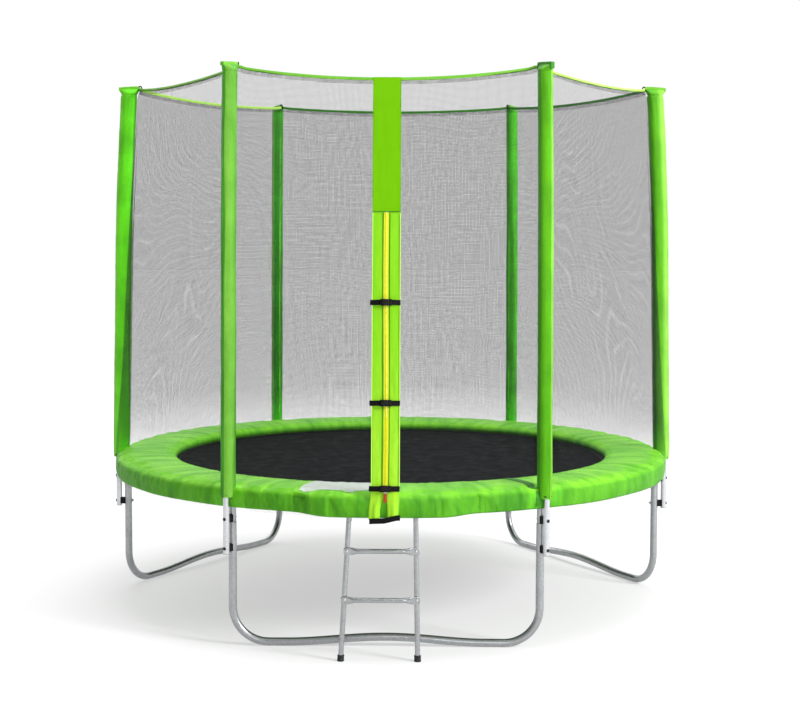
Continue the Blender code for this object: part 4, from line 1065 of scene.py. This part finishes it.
def stitched(name, x_of, z_start, z_end, out):
    """A row of running stitches up the entrance."""
    pitch, length = 0.0036, 0.6
    shapes = []
    for k in range(int((z_end - z_start) / pitch)):
        z = z_start + pitch * k
        x0, x1 = x_of(z), x_of(z + pitch * length)
        path = [door_point(x0, z, out - 0.0004), door_point((x0 + x1) / 2, z + pitch * 0.3, out + 0.0002),
                door_point(x1, z + pitch * length, out - 0.0004)]
        shapes.append(swept([p[:] for p in path], 0.00045, 4))
    piece(name, merged(*shapes), STITCH, "frame", "door_cloth", sharp=None)


def zip_line(z):
    """The teeth wander a little on their way up."""
    return ZIP_X + 0.0005 + 0.0022 * math.sin((z - 0.6) * 5.2) * smooth(z, 0.66, 0.85)


def door_ribbon(name, x_of, heights, out_of, width, thickness, finish):
    """A narrow band up the entrance."""
    path = [door_point(x_of(z), z, out_of(z))[:] for z in heights]
    piece(name, ribbon(path, (1, 0, 0), width, thickness), finish, "frame", "door_cloth")


def zip_side(z, shift):
    """A line beside the zip, which follows a third of its wandering."""
    return zip_line(z) * 0.3 + ZIP_X * 0.7 + shift


def puffed(point, share, side):
    """A point of an entrance strip, share of the way across it, with the puffed tail below."""
    z = point.z
    low = 1 - smooth(z, 0.575, 0.650)
    if side == "left":
        flare = low * (-0.0095 * (1 - share) - 0.0170 * share)
    else:
        flare = low * (0.0030 * (1 - share) - 0.0040 * share)
    round_share = max(0.0, math.sin(math.pi * share)) ** 0.6
    gather = 1 - smooth(z, DOOR_BOTTOM_Z, 0.562)
    puff = 0.0075 * round_share * low * (1 - 0.35 * gather)
    fold = 0.0016 * math.cos(share * 11.0 + 6.0 * (z - 0.6)) * low
    channel = 0.0007 * round_share
    return point + Vector((flare, -puff - channel - fold, 0.0))


def build_strips():
    columns = 13
    strips = {"left": (DOOR_LEFT, ZIP_X - 0.0035, 5.0), "right": (ZIP_X + 0.0045, DOOR_RIGHT, 9.0)}
    for side, (start, end, seed) in strips.items():
        points, uvs = strip_grid(start, end, DOOR_BOTTOM_Z, DOOR_TOP_Z + 0.015, 0.0, columns, 150, seed)
        shaped = [[puffed(point, i / (columns - 1), side) for point in column] for i, column in enumerate(points)]
        flap = thick_strip("entrance_cloth_" + side, shaped, uvs, 0.0022, DOOR_GREEN,
                           replaces="entrance_flap_" + side)


def build_zip():
    heights = np.linspace(0.645, DOOR_TOP_Z + 0.005, 110)
    for side, direction in SIDES.items():
        columns = [[door_point(zip_line(z) + direction * across, z, 0.0016 - 0.0004 * across / 0.0096)
                    for z in heights] for across in (0.0012, 0.0050, 0.0096)]
        if side == "left":
            columns = columns[::-1]
        uvs = [(0.001 * i, z) for i in range(3) for z in heights]
        thick_strip("zip_tape_" + side, columns, uvs, 0.0007, ZIP_TAPE)
    teeth = []
    pitch = 0.0028
    for k in range(int((DOOR_TOP_Z - 0.66) / pitch)):
        z = 0.662 + pitch * k
        sign = 1 if k % 2 else -1
        centre = door_point(zip_line(z) + sign * 0.0006, z, 0.0020)
        teeth.append(soft_block((0.0052, 0.0016, 0.0018), 0.0004, frame_at(centre, (1, 0, 0), door_slope()), 1))
    piece("zip_teeth", merged(*teeth), TEETH, "frame", "door_cloth")


def build_trim():
    """The seams beside the zip, and the piping and stitches of the strips' outer edges."""
    heights = np.linspace(0.655, DOOR_TOP_Z + 0.003, 90)
    stitch_bottom, stitch_top = 0.650, DOOR_TOP_Z - 0.005
    for side, direction in SIDES.items():
        stitched("zip_stitching_" + side, lambda z, shift=direction * 0.0112: zip_side(z, shift),
                 stitch_bottom, stitch_top, 0.0014)
    for side, direction in SIDES.items():
        door_ribbon("zip_seam_" + side, lambda z, shift=direction * 0.0132: zip_side(z, shift), heights,
                    lambda z: 0.0012, 0.0030, 0.0012, SEAM)
    for side, x in (("left", DOOR_LEFT + 0.0012), ("right", DOOR_RIGHT - 0.0012)):
        door_ribbon("edge_piping_" + side, lambda z, x=x: x, heights,
                    lambda z, x=x: 0.0008 + 0.0003 * noise.noise(Vector((x * 50, z * 12.0, 0.0))),
                    0.0036, 0.0026, PIPING)
    for side, x in (("left", DOOR_LEFT + 0.0055), ("right", DOOR_RIGHT - 0.0055)):
        stitched("edge_stitching_" + side, lambda z, x=x: x, stitch_bottom, stitch_top, 0.0011)


def build_cover_flap():
    """The plain flap above the zip, sewn along its sides, from the hem down over the zip's end."""
    top = hem_line(0, 0.0) + 0.001
    points, uvs = strip_grid(DOOR_LEFT - 0.0005, DOOR_RIGHT + 0.0005, COVER_BOTTOM_Z, top, 0.0032, 15, 60, 2.0)
    flap = thick_strip("entrance_cover_flap", points, uvs, 0.0016, COVER_GREEN)
    hem = [door_point(DOOR_LEFT + (DOOR_RIGHT - DOOR_LEFT) * k / 12, 1.7085, 0.0034)[:] for k in range(13)]
    piece("cover_flap_hem", ribbon(hem, tuple(door_slope()), 0.0036, 0.0016), STITCH, "frame", "door_cloth")
    for side, x in (("left", DOOR_LEFT + 0.003), ("right", DOOR_RIGHT - 0.003)):
        stitched("cover_stitching_" + side, lambda z, x=x: x, 1.715, top - 0.006, 0.0036)


def build_tie_strap():
    """The black tie that holds the two tails together under the skirt."""
    path = []
    for k in range(25):
        t = k / 24
        arch = math.sin(math.pi * t)
        point = door_point(-0.0600 + 0.1160 * t, 0.546, 0.0050 + 0.006 * arch)
        path.append((point.x, point.y, 0.5385 + 0.0030 * arch + 0.0135 * smooth(t, 0.40, 1.0)))
    piece("entrance_tie_strap", ribbon(path, (0, 0, 1), 0.0210, 0.0050), BLACK_WEB, "frame", "net_mesh")


def blocks(where, parts):
    """Rounded blocks on the entrance, from (size, bevel, (right, out of the cloth, up))."""
    return merged(*(soft_block(size, bevel, where @ Matrix.Translation((x, -out, up)))
                    for size, bevel, (x, out, up) in parts))


def on_door(node, from_top=None):
    """The entrance's own frame at a CAD node: X to the right, Y into the net, Z up along the cloth."""
    low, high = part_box(node)
    z = (low.z + high.z) / 2 if from_top is None else high.z - from_top
    return frame_at(door_point(0.0, z), (1, 0, 0), door_slope())


def build_buckles():
    for place in ("top", "middle", "bottom"):
        name = "buckle_socket_" + place
        where = on_door(name)
        piece(name + "_shell", blocks(where, SOCKET_BLOCKS), PLASTIC, "frame", "black_plastic", name, sharp=35)
        prongs = []
        for sign in (-1, 1):
            path = [(where @ Vector((x, -0.012, sign * up)))[:]
                    for x, up in ((0.009, 0.0066), (0.000, 0.0070), (-0.006, 0.0078), (-0.011, 0.0066))]
            prongs.append(swept(path, (0.0016, 0.0015, 0.0019, 0.0012), 8))
        name = "buckle_plug_" + place
        piece(name + "_body", merged(blocks(where, PLUG_BLOCKS), *prongs), PLASTIC, "plug_" + place,
              "black_plastic", name, sharp=35)
        for side, body in (("left", "frame"), ("right", "plug_" + place)):
            path = [(where @ Vector((x, -out, 0.0)))[:] for x, out in STRAP_ROUTES[side]]
            strap = ribbon(path, tuple(door_slope()), 0.0205, 0.0016)
            piece(f"buckle_strap_{side}_{place}", strap, BLACK_WEB, body, "black_plastic")


def build_slider():
    """Zip slider: its front plate, which rides over the teeth, with a bridge and a pull tab."""
    where = on_door("zip_slider", 0.0085)
    body = blocks(where, (((0.0112, 0.0018, 0.0150), 0.0006, (0, 0.0047, 0)),
                          ((0.0030, 0.0016, 0.0100), 0.0006, (0, 0.0058, 0))))
    eye = [(where @ Vector((0.0024 * math.cos(t), -0.0056, -0.0070 + 0.0030 * math.sin(t))))[:]
           for t in np.linspace(0, 2 * math.pi, 16, endpoint=False)]
    piece("zip_slider_body", merged(body, swept(eye, 0.0008, 8, closed=True)), BOLT_STEEL, "slider", "zip_metal",
          "zip_slider", sharp=35)
    tab = blocks(where, (((0.0135, 0.0016, 0.0320), 0.0006, (0, 0.0056, -0.0265)),
                         ((0.0064, 0.0013, 0.0080), 0.0004, (0, 0.0056, -0.0105)),
                         ((0.0080, 0.0024, 0.0140), 0.0007, (0, 0.0056, -0.0320))))
    piece("zip_slider_pull", tab, SLIDER, "slider", "zip_metal", sharp=35)


# ======================================================================= ladder
def ladder_y(z):
    return LADDER_FOOT_Y + (LADDER_AXIS_Y - HOOK_MIDDLE - LADDER_FOOT_Y) * z / LADDER_TOP_Z


def rail_point(side, z):
    foot, top = LADDER_RAILS[side]
    return Vector((foot + (top - foot) * z / LADDER_TOP_Z, ladder_y(z), z))


def build_rail(side):
    """An upright with its hook over the ring, and its rubber boot."""
    top_x = LADDER_RAILS[side][1]
    tube = swept([rail_point(side, z)[:] for z in np.linspace(0.012, LADDER_TOP_Z - 0.0005, 12)], LADDER_TUBE, 24)
    path = [(top_x, LADDER_AXIS_Y - HOOK_MIDDLE, RING_Z - 0.060 + 0.012 * k) for k in range(5)]
    for turn in (math.radians(200.0 * k / 24) for k in range(25)):
        path.append((top_x, LADDER_AXIS_Y - HOOK_MIDDLE * math.cos(turn), RING_Z + HOOK_MIDDLE * math.sin(turn)))
    hook = ribbon(path, (1, 0, 0), HOOK_WIDTH, 0.0029, 0.0008)
    weld = weld_bead((top_x, LADDER_AXIS_Y - HOOK_MIDDLE - 0.004, LADDER_TOP_Z), 0.0085, 0.0016, 14)
    piece("ladder_upright_" + side, merged(tube, hook, weld), LADDER_STEEL, "ladder", "ladder_steel",
          "ladder_rail_" + side)
    along = (rail_point(side, 0.1) - rail_point(side, 0.0)).normalized()
    x, y = rail_point(side, 0.0)[:2]
    lean = Matrix.Shear("XY", 4, (along.x / along.z, along.y / along.z))
    foot = lathe([(0.0130, 0.0), (FOOT_RADIUS, 0.0015), (FOOT_RADIUS, 0.0050), (0.0128, 0.0062), (0.0128, 0.0185),
                  (0.0134, 0.0200), (0.0134, 0.0225), (0.0118, FOOT_HEIGHT), (0.0105, FOOT_HEIGHT)], 32,
                 Matrix.Translation((x, y, 0)) @ lean)
    piece("ladder_boot_" + side, foot, RUBBER, "ladder", "foot_rubber", "ladder_foot_" + side)


def build_rung(level, z):
    """A rung, round in the middle and flattened where it is bolted to the uprights."""
    y = ladder_y(z) - LADDER_TUBE - 0.0018
    left, right = rail_point("left", z).x, rail_point("right", z).x
    rings = []
    for k in range(41):
        x = left - 0.0125 + (right - left + 0.025) * k / 40
        near = min(abs(x - left), abs(x - right))
        inside = left < x < right
        round_share = smooth(near, 0.014, 0.046) if inside else 0.0
        end_round = 1.0 - 0.35 * smooth(0.0 if inside else near, 0.008, 0.0125)
        high = (RUNG_FLAT + (RUNG_TUBE - RUNG_FLAT) * round_share) * end_round
        deep = 0.0016 + (RUNG_TUBE - 0.0016) * round_share
        rings.append([(x, y + deep * math.cos(t), z + high * math.sin(t)) for t in round_turns(24)])
    piece("ladder_step_" + level, skin(rings), LADDER_STEEL, "ladder", "ladder_steel", "ladder_rung_" + level,
          sharp=50)
    for side, x in (("left", left), ("right", right)):
        out = frame_at((x, y - 0.0016, z), (1, 0, 0), (0, -1, 0))
        head = lathe([(0.0062, -0.0004), (0.0064, 0.0004), (0.0054, 0.0022), (0.0030, 0.0034), (0.0010, 0.0037)],
                     20, out)
        back = frame_at((x, y + 0.0016 + 2 * LADDER_TUBE, z), (1, 0, 0), (0, 1, 0))
        nut = lathe([(0.0050, 0.0), (0.0058, 0.0008), (0.0058, 0.0042), (0.0050, 0.0050)], 6, back)
        piece(f"ladder_bolt_{level}_{side}", merged(head, nut), BOLT_STEEL, "ladder", "ladder_steel", sharp=30)


def build_ladder():
    for side in LADDER_RAILS:
        build_rail(side)
    for level, z in RUNG_Z.items():
        build_rung(level, z)


# ======================================================================= small trim
def dropped(tree, radius, azimuth, lift):
    """A point lift above the pad, straight below the given place."""
    above = polar(radius, azimuth, 0.75)
    return above.x, above.y, tree.ray_cast(above, Vector((0, 0, -1)))[0].z + lift


def build_label(tree):
    """A blank patch sewn on the pad to the left of the entrance."""
    columns, uvs = [], []
    for azimuth in (-16.2 + 13.0 * k / 32 for k in range(33)):
        radii = [0.990 + 0.222 * i / 12 for i in range(13)]
        columns.append([dropped(tree, radius, azimuth, 0.0012) for radius in radii])
        uvs += [(math.radians(azimuth), radius) for radius in radii]
    label = piece("blank_label_patch", sheet_grid(columns), LABEL, "frame", "pad_cover", sharp=None, uv=uvs)


def build_pad_seam(tree):
    """The sewn overlap where the pad's ends meet, beside the front right pole, and its end on the skirt."""
    azimuth, top_z = 28.4, 0.626
    across = tuple(polar(1.0, azimuth + 90.0, 0.0))
    path = [dropped(tree, 0.985 + 0.235 * k / 28, azimuth, 0.0008) for k in range(29)]
    # the seam is a real sewn overlap; its darker binding is partly the seam's own colour and partly painted shade
    # along the overlap's step
    piece("pad_overlap_seam", ribbon(path, across, 0.0340, 0.0036), PAINTED_SHADE_BINDING, "frame", "pad_cover")
    # down the skirt the darker binding is painted shade beside the overlap's step
    path = []
    for k in range(15):
        beside = polar(1.40, azimuth, top_z + (SKIRT_BOTTOM_Z + 0.014 - top_z) * k / 14)
        hit = tree.ray_cast(beside, -polar(1.0, azimuth, 0.0))[0]
        path.append(tuple(hit + polar(0.0008, azimuth, 0.0)))
    piece("skirt_overlap_seam", ribbon(path, across, 0.0200, 0.0030), PAINTED_SHADE_BINDING, "frame", "pad_cover")


# ======================================================================= stage, light and camera
def build_stage():
    paint = Paint("pale_floor", 0.9, Emission_Color=(1.0, 1.0, 1.0, 1.0), Emission_Strength=0.50)
    away = paint.add("VectorMath", {0: paint.position()}, operation="LENGTH").outputs["Value"]
    # the lights fall off outwards, so the paint is darker near the middle
    tone = paint.mix(paint.spread(away, 0.0, 1.0, 2.5, 9.0), (0.36, 0.36, 0.36), (0.60, 0.60, 0.60))
    paint.feed("Base Color", paint.mix(paint.spread(paint.noise(1.5, 2.0), 0.0, 0.15), tone, (0.34, 0.34, 0.345)))
    sides = 64
    radii = (0.5, 2, 5, 10, 20, 40, 60)
    rings = [[(r * math.cos(t), r * math.sin(t), 0.0) for t in round_turns(sides)] for r in radii]
    points, faces = skin(rings, caps=False)
    faces.append(tuple(reversed(range(sides))))
    piece("studio_floor", (points, faces), paint.material, sharp=None)


def build_lamps():
    for name, location, size, power in (("key_light", (6.5, -4.5, 4.6), (2.0, 2.0), 800.0),
                                        ("front_fill", (1.5, -8.5, 2.6), (2.4, 1.6), 90.0),
                                        ("top_light", (0.5, 0.3, 7.5), (5.0, 5.0), 420.0),
                                        ("back_light", (-3.5, 6.0, 4.5), (4.0, 3.0), 90.0)):
        data = bpy.data.lights.new(name, "AREA")
        data.shape = "RECTANGLE"
        data.size, data.size_y = size
        data.energy = power
        lit = bpy.data.objects.new(name, data)
        lit.location = location
        lit.rotation_euler = (Vector((0, 0, 1.1)) - Vector(location)).to_track_quat("-Z", "Y").to_euler()
        bpy.context.scene.collection.objects.link(lit)


def build_world():
    """A white room that is dimmer towards the left front, so that round things are modelled by the light."""
    world = bpy.data.worlds.new("studio")
    world.use_nodes = True
    tree = world.node_tree
    shade = tree.nodes["Background"]
    shade.inputs["Color"].default_value = (1.0, 1.0, 1.0, 1.0)
    direction = add_node(tree, "TexCoord").outputs["Generated"]
    toward = add_node(tree, "VectorMath", {0: direction, 1: (0.55, 0.80, 0.25)}, operation="DOT_PRODUCT")
    ramp = add_node(tree, "MapRange", {"Value": toward.outputs["Value"], "From Min": -0.75, "From Max": 0.35,
                                       "To Min": 0.42, "To Max": 1.0}, interpolation_type="SMOOTHSTEP")
    tree.links.new(ramp.outputs["Result"], shade.inputs["Strength"])
    bpy.context.scene.world = world
    bpy.context.scene.view_settings.view_transform = "Standard"


def build_camera():
    distance, height, yaw, down, roll = 7.107, 1.632, 0.016, 0.0651, 0.0025
    data = bpy.data.cameras.new("camera")
    data.lens, data.sensor_width = 70.2, 36.0
    data.shift_x, data.shift_y = 0.01125, -0.0271
    data.clip_end = 200.0
    camera = bpy.data.objects.new("camera", data)
    place = Matrix.Rotation(yaw, 4, "Z") @ Matrix.Translation((0.0, -distance, height))
    camera.matrix_world = place @ Matrix.Rotation(math.pi / 2 - down, 4, "X") @ Matrix.Rotation(roll, 4, "Z")
    bpy.context.scene.collection.objects.link(camera)
    bpy.context.scene.camera = camera


build_camera()
build_stage()
build_lamps()
build_world()
build_top_rails()
build_legs()
build_poles()
build_spacers()
build_sleeves()
build_mat()
PAD = build_pad()
build_net()
build_strips()
build_zip()
build_trim()
build_cover_flap()
build_tie_strap()
build_buckles()
build_slider()
build_ladder()
PAD_TREE = BVHTree.FromObject(PAD, bpy.context.evaluated_depsgraph_get())
build_label(PAD_TREE)
build_pad_seam(PAD_TREE)
